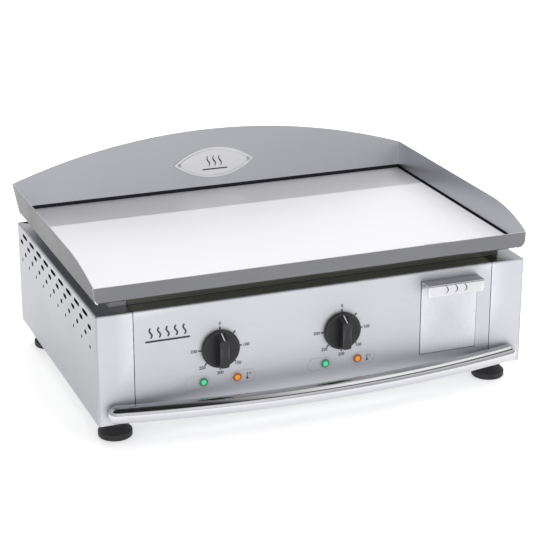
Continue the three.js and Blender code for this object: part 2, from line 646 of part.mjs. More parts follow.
function makeFeet() {
  const pad = [
    [0, 0], [FOOT_R - 1.5, 0], [FOOT_R, 1.5], [FOOT_R, 8], [FOOT_R - 2, 10], [14, 17], [12.5, 22], [0, 22],
  ];
  const bore = bar("z", STUD_R + GAP, 12, 30, 0, 0, 10);
  const insert = [
    [STUD_R + GAP, BODY_Z0 + 0.4], [INSERT_R, BODY_Z0 + 0.4], [INSERT_R, BASE_TOP + GAP], [10, BASE_TOP + GAP],
    [10, 46], [STUD_R + GAP, 46], [STUD_R + GAP, BODY_Z0 + 0.4],
  ];
  for (const [word, side] of SIDES) {
    FOOT_Y.forEach((y, i) => {
      const place = `${i ? "rear" : "front"}_${word}`;
      const spot = [side * FOOT_X, y, 0];
      add(`foot_pad_${place}`, cut(turned(pad, 20), bore), RUBBER, spot);
      add(`foot_stud_${place}`, bar("z", STUD_R, 12.4, 43, 0, 0, 10), GALVANISED, spot);
      add(`foot_insert_${place}`, turned(insert, 12), GALVANISED, spot);
    });
  }
}

makeBody();
makePlate();
makeBadge();
makeHeating();
makeControls();
makeSupply();
makeDrawer();
makeFeet();

griddle.position.y = -CENTRE_Y;
export default griddle;
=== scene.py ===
"""Countertop griddle: the visible pieces and their finishes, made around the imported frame.

Shapes are worked out in millimetres, with Y measured back from the body's front face, and
put into the row frame, in metres, as each piece is made.
"""

import math

import bpy
import numpy as np
from bpy.props import FloatProperty, FloatVectorProperty, IntProperty, PointerProperty
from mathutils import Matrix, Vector


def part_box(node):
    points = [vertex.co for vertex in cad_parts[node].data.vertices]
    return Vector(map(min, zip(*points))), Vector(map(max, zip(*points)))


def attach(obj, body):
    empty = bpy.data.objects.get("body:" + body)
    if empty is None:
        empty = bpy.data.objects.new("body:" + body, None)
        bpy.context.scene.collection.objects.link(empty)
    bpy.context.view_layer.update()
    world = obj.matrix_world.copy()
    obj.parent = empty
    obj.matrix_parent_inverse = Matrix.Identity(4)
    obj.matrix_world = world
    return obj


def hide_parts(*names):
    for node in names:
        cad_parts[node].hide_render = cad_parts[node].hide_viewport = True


bl_info = {
    "name": "Countertop griddle",
    "version": (1, 0, 0),
    "blender": (4, 5, 0),
    "location": "View3D > Sidebar > Griddle",
    "description": "Makes the griddle's visible pieces and finishes around its packed frame",
    "category": "Object",
}

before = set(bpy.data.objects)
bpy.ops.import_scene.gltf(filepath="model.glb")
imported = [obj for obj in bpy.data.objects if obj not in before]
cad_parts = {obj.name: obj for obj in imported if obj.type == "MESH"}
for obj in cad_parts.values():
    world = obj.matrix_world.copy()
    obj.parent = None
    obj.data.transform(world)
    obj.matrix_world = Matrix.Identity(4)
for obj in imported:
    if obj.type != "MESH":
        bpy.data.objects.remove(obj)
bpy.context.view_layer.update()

MM = 0.001
FRONT_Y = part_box("front_panel")[0].y      # the body's front face in the row frame
ORIGIN = np.array([0.0, FRONT_Y / MM, 0.0])
SIDES = (("left", -1), ("right", 1))


def corners(node):
    """Lowest and highest corner of a CAD node in millimetres, Y from the front face."""
    low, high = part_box(node)
    return np.array(low) / MM - ORIGIN, np.array(high) / MM - ORIGIN


# ---- sizes read from the frame, and the few the frame's boxes don't give -------------------

PANEL_LOW, PANEL_HIGH = corners("right_side_panel")
HALF = PANEL_HIGH[0]                      # half the body's width
DEPTH = PANEL_HIGH[1]
UNDERSIDE = PANEL_LOW[2]
COLLAR_TOP = PANEL_HIGH[2]
PLATE_LOW, PLATE_HIGH = corners("griddle_plate")
PLATE_TOP = PLATE_HIGH[2]
RIM_LOW, RIM_HIGH = corners("front_rim")
GUARD_LOW, GUARD_HIGH = corners("right_splash_guard")
DRAWER_LOW, DRAWER_HIGH = corners("drawer_front")
HANDLE_LOW, HANDLE_HIGH = corners("drawer_handle")
TRAY_LOW, TRAY_HIGH = corners("drawer_tray")
CROWN = corners("back_splash_guard")[1][2]
KNOBS = {side: sum(corners(f"knob_{side}")) / 2 for side, _ in SIDES}

SHEET = 1.5                               # steel sheet
LEDGE_Z = 175.5                           # top ledge of the body
LEDGE_W = 26.0
COLLAR_HALF = 270.0                       # half the collar's width, and its back
COLLAR_BACK = 366.0
SEAM_X = 247.0                            # joint between the side panels and the front
REAR_HALF = 293.2                         # half the rear panel's width, and its collar's
REAR_COLLAR_HALF = 267.0
REAR_BANK_X = 120.0                       # middle of a bank of eight rear slots
REAR_SLOT = (5.0, 40.0)
REAR_SLOT_Z = 125.0
DRAWER_GAP = (143.9, 226.25)              # ends of the front's opening for the drawer, in X
DRAWER_GAP_Z = (59.3, 162.7)              # and in Z
SEAM = 0.5                                # half its width
BEND_R = 2.5
BACK_Y = 385.3                            # back guard's inner face at the plate
BACK_LEAN = math.radians(15)
SPLAY = GUARD_HIGH[0] - (HALF - SHEET)    # how far a side guard leans out
GUARD_CURVE = 100.0                       # length of the curved run down to the rim
FLANGE_Z = GUARD_LOW[2]                   # underside of the guards' flange
FLANGE_W = 28.0
FOLD_R = 4.0
DRAIN = (185.0, 38.5, 34.0, 15.0)         # grease slot: its middle in X and Y, width and depth
GUARD_REFLECTION_DEPTH = 84.0                             # depth of the plate's greyer strip before the back guard, a painted reflection of the guard
LAMP_DX = 22.6
LAMP_Z = 68.3
LAMP_OUTLINE = (15.6, 17.5)               # straight run and height of the outline printed by a lamp
HEAT_SIGN = (-203.0, 137.5)               # middle in X of the printed heat sign, and its waves' foot
BADGE_UP = 37.0                           # nameplate's middle, along the guard from the plate
BADGE_HALF = 61.5
BADGE_RISE = 22.0
BADGE_SCREW_X = 52.8
VENT_PITCH = 38.2
# side vents, a row each: length, height of the middle, and the first one's Y
VENT_ROWS = ((24.0, 165.4, 46.1), (15.0, 153.2, 27.0), (9.6, 139.6, 46.1), (5.2, 126.7, 27.0))
VENT_H = 5.2


# ---- what a user may change ----------------------------------------------------------------

class GriddleSizes(bpy.types.PropertyGroup):
    """Sizes of the modelled surfaces, in metres."""
    bend: FloatProperty(name="Bend radius", description="Outer radius of the sheet's bends",
                        default=BEND_R * MM, min=0.0016, max=0.006, unit="LENGTH")
    rail_radius: FloatProperty(name="Rail radius", description="Radius of the front rail's tube",
                               default=0.0116, min=0.008, max=0.012, unit="LENGTH")
    thread_pitch: FloatProperty(name="Thread pitch", description="Pitch of the feet's thread",
                                default=0.0015, min=0.001, max=0.003, unit="LENGTH")
    round_sides: IntProperty(name="Round sides", description="Sides of a turned piece",
                             default=64, min=24, max=128)


class GriddleFinishes(bpy.types.PropertyGroup):
    """Colours of the finishes."""
    steel: FloatVectorProperty(name="Brushed steel", description="Colour of the brushed panels",
                               subtype="COLOR", size=3, default=(0.66, 0.665, 0.705))
    # The polished colour also paints a highlight on the rim's and side guards' top edges.
    polished: FloatVectorProperty(name="Polished steel", description="Colour of the rail and handle",
                                  subtype="COLOR", size=3, default=(0.64, 0.64, 0.67))
    chrome: FloatVectorProperty(name="Chromed plate", description="Colour of the cooking plate",
                                subtype="COLOR", size=3, default=(0.94, 0.935, 0.975))
    knob: FloatVectorProperty(name="Knob plastic", description="Colour of the knobs",
                              subtype="COLOR", size=3, default=(0.022, 0.022, 0.027))
    rubber: FloatVectorProperty(name="Foot rubber", description="Colour of the feet",
                                subtype="COLOR", size=3, default=(0.02, 0.02, 0.021))
    green: FloatVectorProperty(name="Green lamp", description="Colour of the power lamps",
                               subtype="COLOR", size=3, default=(0.05, 0.62, 0.3))
    orange: FloatVectorProperty(name="Orange lamp", description="Colour of the heating lamps",
                                subtype="COLOR", size=3, default=(0.86, 0.25, 0.008))


class GriddleStage(bpy.types.PropertyGroup):
    """Camera and light."""
    azimuth: FloatProperty(name="Azimuth", description="Camera's angle round the griddle",
                           default=math.radians(-21.37), subtype="ANGLE")
    elevation: FloatProperty(name="Elevation", description="Camera's angle above the worktop",
                             default=math.radians(20.01), subtype="ANGLE")
    lens: FloatProperty(name="Lens", description="Camera's focal length in millimetres",
                        default=117.0, min=20, max=300)
    room: FloatProperty(name="Room light", description="Strength of the light all round",
                        default=1.0, min=0, max=5)


# ---- surfaces as (points, quads); a triangle is a quad whose last corner is repeated --------

def quad_grid(rows, cols, wrap=False):
    """Corner numbers of the quads of a rows by cols grid; wrap joins the last column to the first."""
    i, j = np.meshgrid(np.arange(rows - 1), np.arange(cols if wrap else cols - 1), indexing="ij")
    k = (j + 1) % cols
    return np.stack([i * cols + j, (i + 1) * cols + j, (i + 1) * cols + k, i * cols + k], -1).reshape(-1, 4)


def join(*surfaces):
    """Several surfaces as one: each one's corner numbers move up by the points before it."""
    starts = np.cumsum([0] + [len(points) for points, _ in surfaces])
    return (np.concatenate([points for points, _ in surfaces]),
            np.concatenate([quads + start for (_, quads), start in zip(surfaces, starts)]))


def weld(surface):
    """Makes points less than a thousandth apart one point, and drops the quads that lose two corners and
    the points without a quad."""
    points, quads = surface
    merged, number = np.unique(np.round(points, 3), axis=0, return_inverse=True)
    quads = number.reshape(-1)[quads]
    repeat = quads == np.roll(quads, 1, axis=1)
    lost = repeat.sum(1)
    folded = (quads[:, 0] == quads[:, 2]) | (quads[:, 1] == quads[:, 3])
    whole = quads[(lost == 0) & ~folded]
    three = quads[lost == 1][~repeat[lost == 1]].reshape(-1, 3)
    three = three[(three[:, 0] != three[:, 1]) & (three[:, 1] != three[:, 2]) & (three[:, 0] != three[:, 2])]
    used, number = np.unique(np.concatenate([whole, three[:, [0, 1, 2, 2]]]), return_inverse=True)
    return merged[used], number.reshape(-1, 4)


def outward(surface, inside=(0, 0, 0)):
    """Turns every quad round if the solid angle volume seen from the inside point is negative."""
    points, quads = surface
    a, b, c, d = (points[quads[:, k]] - np.asarray(inside, float) for k in range(4))
    volume = (a * np.cross(b, c)).sum() + (a * np.cross(c, d)).sum()
    return (points, quads[:, ::-1]) if volume < 0 else (points, quads)


def shell(surface, thick, inside=(0, 196, 100)):
    """Gives an open sheet a thickness: a copy of each point is moved inwards along the mean of its quads'
    normals, and each free edge is joined to its copy."""
    points, quads = outward(weld(surface), inside)
    a, b, c, d = (points[quads[:, k]] for k in range(4))
    flat = np.cross(c - a, d - b)
    normal = np.zeros_like(points)
    for k in range(4):
        np.add.at(normal, quads[:, k], flat)
    normal /= np.linalg.norm(normal, axis=1, keepdims=True)
    edges = np.concatenate([np.stack([quads[:, k], quads[:, (k + 1) % 4]], -1) for k in range(4)])
    edges = edges[edges[:, 0] != edges[:, 1]]
    _, first, times = np.unique(np.sort(edges, 1), axis=0, return_index=True, return_counts=True)
    free = edges[first[times == 1]]
    n = len(points)
    rim = np.stack([free[:, 1], free[:, 0], free[:, 0] + n, free[:, 1] + n], -1)
    return np.concatenate([points, points - normal * thick]), np.concatenate([quads, quads[:, ::-1] + n, rim])


def swept(rings):
    """Skin over a row of closed rings. Each end is closed by quads that join ring point k to point n-1-k."""
    rows, n = rings.shape[:2]
    k = np.arange(n // 2 - 1)
    cap = np.stack([k, k + 1, n - 2 - k, n - 1 - k], -1)
    quads = [quad_grid(rows, n, wrap=True), cap, cap[:, ::-1] + (rows - 1) * n]
    return rings.reshape(-1, 3), np.concatenate(quads)


def revolved(profile, sides, centre=(0, 0, 0), forward=False):
    """Each profile point (r, h) goes round the axis: (r cos t, r sin t, h), or with forward, towards
    the front: (r cos t, -h, r sin t)."""
    profile = np.asarray(profile, float)
    t = np.linspace(0, 2 * math.pi, sides, endpoint=False)
    r, h = profile[:, :1], np.repeat(profile[:, 1:2], sides, 1)
    rings = [r * np.cos(t), -h, r * np.sin(t)] if forward else [r * np.cos(t), r * np.sin(t), h]
    points = np.stack(rings, -1).reshape(-1, 3) + np.asarray(centre, float)
    return points, quad_grid(len(profile), sides, wrap=True)


def rounded(points, steps=6, closed=False):
    """Line through corners (a, b, r), each replaced by the arc of radius r that touches both its sides."""
    parts = []
    last = len(points) - 1
    for i, (a, b, *radius) in enumerate(points):
        r = radius[0] if radius else 0
        here = np.array([a, b], float)
        if not r or (not closed and i in (0, last)):
            parts.append(here[None])
            continue
        before = np.array(points[i - 1][:2], float) - here
        after = np.array(points[(i + 1) % len(points)][:2], float) - here
        before /= np.linalg.norm(before)
        after /= np.linalg.norm(after)
        half = math.acos(np.clip(before @ after, -1, 1)) / 2
        middle = here + (before + after) / np.linalg.norm(before + after) * r / math.sin(half)
        start = here + before * r / math.tan(half) - middle
        end = here + after * r / math.tan(half) - middle
        sweep = math.pi - 2 * half
        t = np.linspace(0, 1, steps + 1)[:, None]
        parts.append(middle + (np.sin((1 - t) * sweep) * start + np.sin(t * sweep) * end) / math.sin(sweep))
    return np.concatenate(parts)


def strip_outline(line, thick=SHEET, ends=(True, True), steps=4):
    """Closed outline of a sheet seen on edge: its middle line moved half the thickness to each side.
    At a rounded end the half thickness falls to nothing over a quarter circle."""
    middle = np.array(line, float)
    h = thick / 2
    half = np.full(len(middle), h)
    turn = np.linspace(0, math.pi / 2, steps + 1)[1:]
    for end in (0, 1):
        if ends[end]:
            middle, half = middle[::-1], half[::-1]
            if end:
                middle, half = middle[::-1], half[::-1]
            way = middle[-1] - middle[-2]
            way /= np.linalg.norm(way)
            base = middle[-1] - way * h
            middle = np.concatenate([middle[:-1], [base], base + way * h * np.sin(turn)[:, None]])
            half = np.concatenate([half, h * np.cos(turn)])
            if not end:
                middle, half = middle[::-1], half[::-1]
    leg = np.diff(middle, axis=0)
    leg /= np.linalg.norm(leg, axis=1, keepdims=True)
    way = np.concatenate([leg[:1], leg[1:] + leg[:-1], leg[-1:]])
    way /= np.linalg.norm(way, axis=1, keepdims=True)
    mitre = np.maximum((way * np.concatenate([leg[:1], leg])).sum(1), 0.5)
    aside = np.stack([-way[:, 1], way[:, 0]], -1) * (half / mitre)[:, None]
    return np.concatenate([middle + aside, (middle - aside)[::-1]])


def along_x(loop, xs):
    """Rings of a (y, z) outline at each x."""
    rings = np.empty((len(xs), len(loop), 3))
    rings[..., 0] = np.asarray(xs, float)[:, None]
    rings[..., 1:] = loop
    return rings


def tube(path, radius, sides=16, up=(0, 1, 0)):
    """Circle of the given radius, which may change along the path, square to the path, with both ends
    drawn in to a point."""
    path = np.asarray(path, float)
    way = np.gradient(path, axis=0)
    way /= np.linalg.norm(way, axis=1, keepdims=True)
    aside = np.cross(way, up)
    aside /= np.linalg.norm(aside, axis=1, keepdims=True)
    above = np.cross(aside, way)
    radius = np.broadcast_to(radius, len(path)).astype(float)
    path = np.concatenate([path[:1], path, path[-1:]])
    aside, above = (np.concatenate([v[:1], v, v[-1:]]) for v in (aside, above))
    radius = np.concatenate([[0], radius, [0]])
    t = np.linspace(0, 2 * math.pi, sides, endpoint=False)[:, None]
    rings = path[:, None] + radius[:, None, None] * (np.cos(t) * aside[:, None] + np.sin(t) * above[:, None])
    return rings.reshape(-1, 3), quad_grid(len(path), sides, wrap=True)


def slot_reach(length, height):
    """How far a round-ended slot reaches from its middle in direction (c, s): height / 2 over |s| on its
    straight sides, else the far crossing of the end circle."""
    h = height / 2
    a = max(length / 2 - h, 0)

    def reach(c, s):
        c, s = np.abs(c), np.maximum(np.abs(s), 1e-9)
        flat = h / s
        end = a * c + np.sqrt(np.maximum(h * h - a * a * s * s, 0))
        return np.where(flat * c <= a, flat, end)
    return reach


def box_reach(width, depth, power=14):
    """How far a soft-cornered rectangle reaches: the power mean of its two half sides over |c| and |s|."""
    def reach(c, s):
        return ((np.abs(c) / (width / 2)) ** power + (np.abs(s) / (depth / 2)) ** power) ** (-1 / power)
    return reach


def pierced(points, blocks, inward, edge=0.35, skip=()):
    """A grid of points with openings. Each block (i0, i1, j0, j1, middle, reach) of quads makes way for rows
    of quads from its edge to the slot inside it, whose lip is drawn in by edge. Blocks in skip stay open."""
    rows, cols = points.shape[:2]
    keep = np.ones((rows - 1, cols - 1), bool)
    for i0, i1, j0, j1 in [block[:4] for block in blocks] + list(skip):
        keep[i0:i1, j0:j1] = False
    parts = [(points.reshape(-1, 3), quad_grid(rows, cols)[keep.reshape(-1)])]
    inward = np.asarray(inward, float)
    for i0, i1, j0, j1, middle, reach in blocks:
        i, j = np.arange(i0, i1), np.arange(j0, j1)
        ring_i = np.concatenate([i, np.full(len(j), i1), i[::-1] + 1, np.full(len(j), i0)])
        ring_j = np.concatenate([np.full(len(i), j0), j, np.full(len(i), j1), j[::-1] + 1])
        border = points[ring_i, ring_j]
        away = border - middle
        far = np.linalg.norm(away, axis=1, keepdims=True)
        away = away / far
        first = points[i1, j0] - points[i0, j0]
        second = points[i0, j1] - points[i0, j0]
        c, s = away @ first / np.linalg.norm(first), away @ second / np.linalg.norm(second)
        slot = reach(c, s)[:, None]
        levels = [border,
                  middle + away * (slot + (far - slot) * 0.4),
                  middle + away * (slot + edge),
                  middle + away * (slot + 0.3 * edge) + inward * 0.3 * edge,
                  middle + away * slot + inward * edge]
        ring = quad_grid(len(levels), len(border), wrap=True)[:, ::-1]
        parts.append((np.stack(levels).reshape(-1, 3), ring))
    return join(*parts)


# ---- making a piece --------------------------------------------------------------------------

def edge_values(mesh):
    """For each vertex, how sharply the surface turns there: the widest angle between its normal and a
    face's, over the distance to that face's middle in millimetres, from 0 flat to 1 a tight edge."""
    loops, faces, count = len(mesh.loops), len(mesh.polygons), len(mesh.vertices)
    vertex, total = np.zeros(loops, int), np.zeros(faces, int)
    mesh.loops.foreach_get("vertex_index", vertex)
    mesh.polygons.foreach_get("loop_total", total)
    flat, middle, place, normal = (np.zeros(3 * n) for n in (faces, faces, count, count))
    mesh.polygons.foreach_get("normal", flat)
    mesh.polygons.foreach_get("center", middle)
    mesh.vertices.foreach_get("co", place)
    mesh.vertices.foreach_get("normal", normal)
    flat, middle, place, normal = (v.reshape(-1, 3) for v in (flat, middle, place, normal))
    face = np.repeat(np.arange(faces), total)
    angle = np.arccos(np.clip((flat[face] * normal[vertex]).sum(1), -1, 1))
    apart = np.linalg.norm(middle[face] - place[vertex], axis=1) / MM
    value = np.zeros(count)
    np.maximum.at(value, vertex, angle / np.maximum(apart, 0.05))
    return np.clip((value - 0.08) / 0.5, 0, 1)


def piece(name, surface, body, finish, stands_for=(), inside=None, values=None, sharp=35, more=()):
    """Makes one object from a surface in millimetres. It rides on a body, takes the named finish and
    may stand for CAD nodes. values are numbers per point, kept under the name "across". more gives
    further finishes, each with a test of the faces' middles, in millimetres, and normals."""
    points, quads = surface
    if values is None:
        points, quads = weld((points, quads))
    if inside is None:
        inside = points.mean(0)
    points, quads = outward((points, quads), inside)
    mesh = bpy.data.meshes.new(name)
    whole = quads[:, 2] != quads[:, 3]
    whole &= quads[:, 0] != quads[:, 1]
    rest = quads[~whole]
    three = np.where(rest[:, :1] == rest[:, 1:2], rest[:, 1:], rest[:, :3])
    mesh.from_pydata((points + ORIGIN) * MM, [], quads[whole].tolist() + three.tolist())
    mesh.validate()
    mesh.shade_smooth()
    mesh.set_sharp_from_angle(angle=math.radians(sharp))
    if values is not None:
        mesh.attributes.new("across", "FLOAT", "POINT").data.foreach_set(
            "value", values.astype(np.float32))
    mesh.attributes.new("edge", "FLOAT", "POINT").data.foreach_set(
        "value", edge_values(mesh).astype(np.float32))
    mesh.materials.append(bpy.data.materials[finish])
    if more:
        flat, middle = np.zeros(3 * len(mesh.polygons)), np.zeros(3 * len(mesh.polygons))
        mesh.polygons.foreach_get("normal", flat)
        mesh.polygons.foreach_get("center", middle)
        places = (middle.reshape(-1, 3) / MM - ORIGIN).T
        index = np.zeros(len(mesh.polygons), np.int32)
        for k, (other, test) in enumerate(more, 1):
            mesh.materials.append(bpy.data.materials[other])
            index[test(*places, flat.reshape(-1, 3).T)] = k
        mesh.polygons.foreach_set("material_index", index)
    obj = bpy.data.objects.new(name, mesh)
    bpy.context.scene.collection.objects.link(obj)
    flats = obj.modifiers.new("flats", "WEIGHTED_NORMAL")
    flats.keep_sharp = True
    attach(obj, body)
    if stands_for:
        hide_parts(*stands_for)
    return obj


# ---- node groups and finishes ------------------------------------------------------------------

def add_node(tree, kind, values=None, **settings):
    """A node with its properties and its sockets' values set; a value that is a socket is linked."""
    node = tree.nodes.new(kind)
    for key, value in settings.items():
        setattr(node, key, value)
    for key, value in (values or {}).items():
        if isinstance(value, bpy.types.NodeSocket):
            tree.links.new(value, node.inputs[key])
        else:
            node.inputs[key].default_value = value
    return node


def start_group(name, inputs, outputs):
    """A shader node group with float inputs of the given defaults, and float outputs."""
    group = bpy.data.node_groups.new(name, "ShaderNodeTree")
    for label, default in inputs:
        kind = "NodeSocketVector" if isinstance(default, tuple) else "NodeSocketFloat"
        group.interface.new_socket(label, in_out="INPUT", socket_type=kind).default_value = default
    for label in outputs:
        group.interface.new_socket(label, in_out="OUTPUT", socket_type="NodeSocketFloat")
    return group, group.nodes.new("NodeGroupInput"), group.nodes.new("NodeGroupOutput")


def math_node(tree, operation, a, b=0.0, clamp=False):
    node = add_node(tree, "ShaderNodeMath", {0: a, 1: b}, operation=operation)
    node.use_clamp = clamp
    return node.outputs[0]


def make_grain_group():
    """Brushed grain: two noises on coordinates stretched by Stretch, so each is long one way and fine the
    other, added, less a half, times Amount."""
    group, given, result = start_group(
        "Brushed grain",
        (("Vector", (0.0, 0.0, 0.0)), ("Stretch", (20.0, 1200.0, 1200.0)), ("Amount", 1.0)), ("Grain",))
    place = add_node(group, "ShaderNodeVectorMath", {0: given.outputs["Vector"], 1: given.outputs["Stretch"]},
                     operation="MULTIPLY").outputs[0]
    coarse = add_node(group, "ShaderNodeTexNoise", {"Vector": place, "Scale": 0.35, "Detail": 2.0})
    fine = add_node(group, "ShaderNodeTexNoise", {"Vector": place, "Scale": 1.3, "Detail": 3.0})
    both = math_node(group, "ADD", coarse.outputs["Factor" if "Factor" in coarse.outputs else "Fac"],
                     fine.outputs["Factor" if "Factor" in fine.outputs else "Fac"])
    centred = math_node(group, "SUBTRACT", both, 1.0)
    group.links.new(math_node(group, "MULTIPLY", centred, given.outputs["Amount"]), result.inputs["Grain"])
    return group


def make_smudge_group():
    """Smudges: one broad noise, cut to its upper part, times Amount."""
    group, given, result = start_group(
        "Smudges", (("Vector", (0.0, 0.0, 0.0)), ("Scale", 9.0), ("Amount", 1.0)), ("Mask",))
    noise = add_node(group, "ShaderNodeTexNoise",
                     {"Vector": given.outputs["Vector"], "Scale": given.outputs["Scale"], "Detail": 4.0,
                      "Distortion": 0.6})
    ramp = add_node(group, "ShaderNodeMapRange",
                    {"Value": noise.outputs[0], "From Min": 0.42, "From Max": 0.75})
    group.links.new(math_node(group, "MULTIPLY", ramp.outputs[0], given.outputs["Amount"]),
                    result.inputs["Mask"])
    return group


def make_wear_and_highlight_group():
    """Edges, worn and given a painted highlight: the stored edge value, broken up by a fine noise, times
    Amount.
    """
    group, given, result = start_group("Edge wear and painted highlight", (("Vector", (0.0, 0.0, 0.0)), ("Amount", 1.0)), ("Mask",))
    edge = add_node(group, "ShaderNodeAttribute", attribute_name="edge").outputs["Fac"]
    noise = add_node(group, "ShaderNodeTexNoise",
                     {"Vector": given.outputs["Vector"], "Scale": 160.0, "Detail": 3.0})
    broken = math_node(group, "MULTIPLY", edge, math_node(group, "ADD", noise.outputs[0], 0.35), clamp=True)
    group.links.new(math_node(group, "MULTIPLY", broken, given.outputs["Amount"]), result.inputs["Mask"])
    return group


def make_scratch_group():
    """Fine scratches: a stretched Voronoi distance to edge, kept only where it is close to nothing."""
    group, given, result = start_group(
        "Fine scratches",
        (("Vector", (0.0, 0.0, 0.0)), ("Stretch", (12.0, 90.0, 60.0)), ("Amount", 1.0)), ("Mask",))
    place = add_node(group, "ShaderNodeVectorMath", {0: given.outputs["Vector"], 1: given.outputs["Stretch"]},
                     operation="MULTIPLY").outputs[0]
    cell = add_node(group, "ShaderNodeTexVoronoi", {"Vector": place, "Scale": 1.0},
                    feature="DISTANCE_TO_EDGE")
    line = add_node(group, "ShaderNodeMapRange",
                    {"Value": cell.outputs["Distance"], "From Min": 0.0, "From Max": 0.012,
                     "To Min": 1.0, "To Max": 0.0})
    patch = add_node(group, "ShaderNodeTexNoise", {"Vector": given.outputs["Vector"], "Scale": 25.0})
    some = math_node(group, "MULTIPLY", line.outputs[0],
                     math_node(group, "GREATER_THAN", patch.outputs[0], 0.58))
    group.links.new(math_node(group, "MULTIPLY", some, given.outputs["Amount"]), result.inputs["Mask"])
    return group


def use_group(tree, group, values):
    node = add_node(tree, "ShaderNodeGroup", node_tree=bpy.data.node_groups[group])
    for key, value in values.items():
        if isinstance(value, bpy.types.NodeSocket):
            tree.links.new(value, node.inputs[key])
        else:
            node.inputs[key].default_value = value
    return node.outputs[0]


def start_material(name, viewport, **fixed):
    """A material with its Principled shader; fixed values go straight on the shader's sockets."""
    material = bpy.data.materials.new(name)
    material.use_nodes = True
    material.diffuse_color = (*viewport, 1)
    tree = material.node_tree
    shader = tree.nodes["Principled BSDF"]
    for key, value in fixed.items():
        shader.inputs[key.replace("_", " ")].default_value = value
    place = add_node(tree, "ShaderNodeTexCoord").outputs["Object"]
    return tree, shader, place


def mix_colour(tree, factor, a, b):
    node = add_node(tree, "ShaderNodeMix",
                    {0: factor, 6: a if isinstance(a, bpy.types.NodeSocket) else (*a, 1),
                     7: b if isinstance(b, bpy.types.NodeSocket) else (*b, 1)},
                    data_type="RGBA")
    return node.outputs[2]


def metal(name, colour, rough, stretch, grain=0.5, smudge=0.06, wear_and_highlight=0.5, bump=0.15, scratch=0.3,
          metallic=1.0, **fixed):
    """Bare metal: grain shades the colour, roughness and bump; smudges dull it, and bent edges are made
    brighter and smoother, partly as worn metal and partly as a painted highlight."""
    tree, shader, place = start_material(name, colour, Metallic=metallic, **fixed)
    lines = use_group(tree, "Brushed grain", {"Vector": place, "Stretch": stretch, "Amount": grain})
    touched = use_group(tree, "Smudges", {"Vector": place, "Scale": 7.0, "Amount": smudge})
    rubbed_and_lit = use_group(tree, "Edge wear and painted highlight", {"Vector": place, "Amount": wear_and_highlight})
    scored = use_group(tree, "Fine scratches", {"Vector": place, "Amount": scratch})
    dark = tuple(c * 0.86 for c in colour)
    # The lighter colour that edges are mixed towards: worn metal and a painted highlight.
    light = tuple(min(c * 1.25 + 0.05, 1) for c in colour)
    shade = math_node(tree, "ADD", lines, 0.5, clamp=True)
    base = mix_colour(tree, shade, dark, tuple(min(c * 1.06, 1) for c in colour))
    tree.links.new(mix_colour(tree, rubbed_and_lit, base, light), shader.inputs["Base Color"])
    level = math_node(tree, "ADD", math_node(tree, "MULTIPLY", lines, 0.12), rough)
    level = math_node(tree, "ADD", level, touched)
    level = math_node(tree, "ADD", level, math_node(tree, "MULTIPLY", scored, 0.12))
    level = math_node(tree, "SUBTRACT", level, math_node(tree, "MULTIPLY", rubbed_and_lit, 0.1), clamp=True)
    tree.links.new(level, shader.inputs["Roughness"])
    height = math_node(tree, "SUBTRACT", lines, math_node(tree, "MULTIPLY", scored, 0.4))
    relief = add_node(tree, "ShaderNodeBump", {"Height": height, "Strength": bump, "Distance": 0.0002})
    tree.links.new(relief.outputs[0], shader.inputs["Normal"])


def moulded(name, colour, rough, spot=900.0, bump=0.2, light=0.3, wear_and_highlight=0.5, **fixed):
    """Moulded plastic or rubber: a fine stipple in bump and roughness, faint mottling, and paler edges,
    partly worn and partly a painted highlight.
    """
    tree, shader, place = start_material(name, colour, **fixed)
    stipple = add_node(tree, "ShaderNodeTexNoise", {"Vector": place, "Scale": spot, "Detail": 2.0}).outputs[0]
    mottle = use_group(tree, "Smudges", {"Vector": place, "Scale": 40.0, "Amount": 0.5})
    rubbed_and_lit = use_group(tree, "Edge wear and painted highlight", {"Vector": place, "Amount": wear_and_highlight})
    # The paler colour that edges are mixed towards: worn moulding and a painted highlight.
    pale = tuple(c + (1 - c) * light * 0.25 for c in colour)
    base = mix_colour(tree, mottle, colour, tuple(c * 0.8 for c in colour))
    tree.links.new(mix_colour(tree, rubbed_and_lit, base, pale), shader.inputs["Base Color"])
    level = math_node(tree, "ADD", math_node(tree, "MULTIPLY", stipple, 0.16), rough - 0.08)
    level = math_node(tree, "SUBTRACT", level, math_node(tree, "MULTIPLY", rubbed_and_lit, 0.12), clamp=True)
    tree.links.new(level, shader.inputs["Roughness"])
    relief = add_node(tree, "ShaderNodeBump", {"Height": stipple, "Strength": bump, "Distance": 0.0001})
    tree.links.new(relief.outputs[0], shader.inputs["Normal"])


def lens_material(name, colour, glow):
    """Lit lamp lens: the colour goes from a pale middle to a deep edge along the stored value "across",
    both as base colour and as a weak glow."""
    tree, shader, place = start_material(name, colour, Roughness=0.18, Coat_Weight=0.6, Coat_Roughness=0.08)
    across = add_node(tree, "ShaderNodeAttribute", attribute_name="across").outputs["Fac"]
    ramp = add_node(tree, "ShaderNodeValToRGB", {"Fac": across})
    pale = tuple(min(c * 1.3 + 0.02, 1) for c in colour)
    deep = tuple(c * 0.2 for c in colour)
    stops = ramp.color_ramp.elements
    stops[0].color = (*colour, 1)
    stops[0].position = 0.0
    stops[1].color = (*deep, 1)
    stops[1].position = 0.8
    for position, shade in ((0.14, pale), (0.42, pale), (0.62, tuple(c * 0.6 for c in colour))):
        stop = stops.new(position)
        stop.color = (*shade, 1)
    fleck = add_node(tree, "ShaderNodeTexNoise", {"Vector": place, "Scale": 900.0, "Detail": 2.0}).outputs[0]
    speck = mix_colour(tree, math_node(tree, "MULTIPLY", fleck, 0.35), ramp.outputs[0],
                       tuple(c * 0.5 for c in colour))
    tree.links.new(speck, shader.inputs["Base Color"])
    tree.links.new(speck, shader.inputs["Emission Color"])
    shader.inputs["Emission Strength"].default_value = glow
    relief = add_node(tree, "ShaderNodeBump", {"Height": fleck, "Strength": 0.15, "Distance": 0.0002})
    tree.links.new(relief.outputs[0], shader.inputs["Normal"])


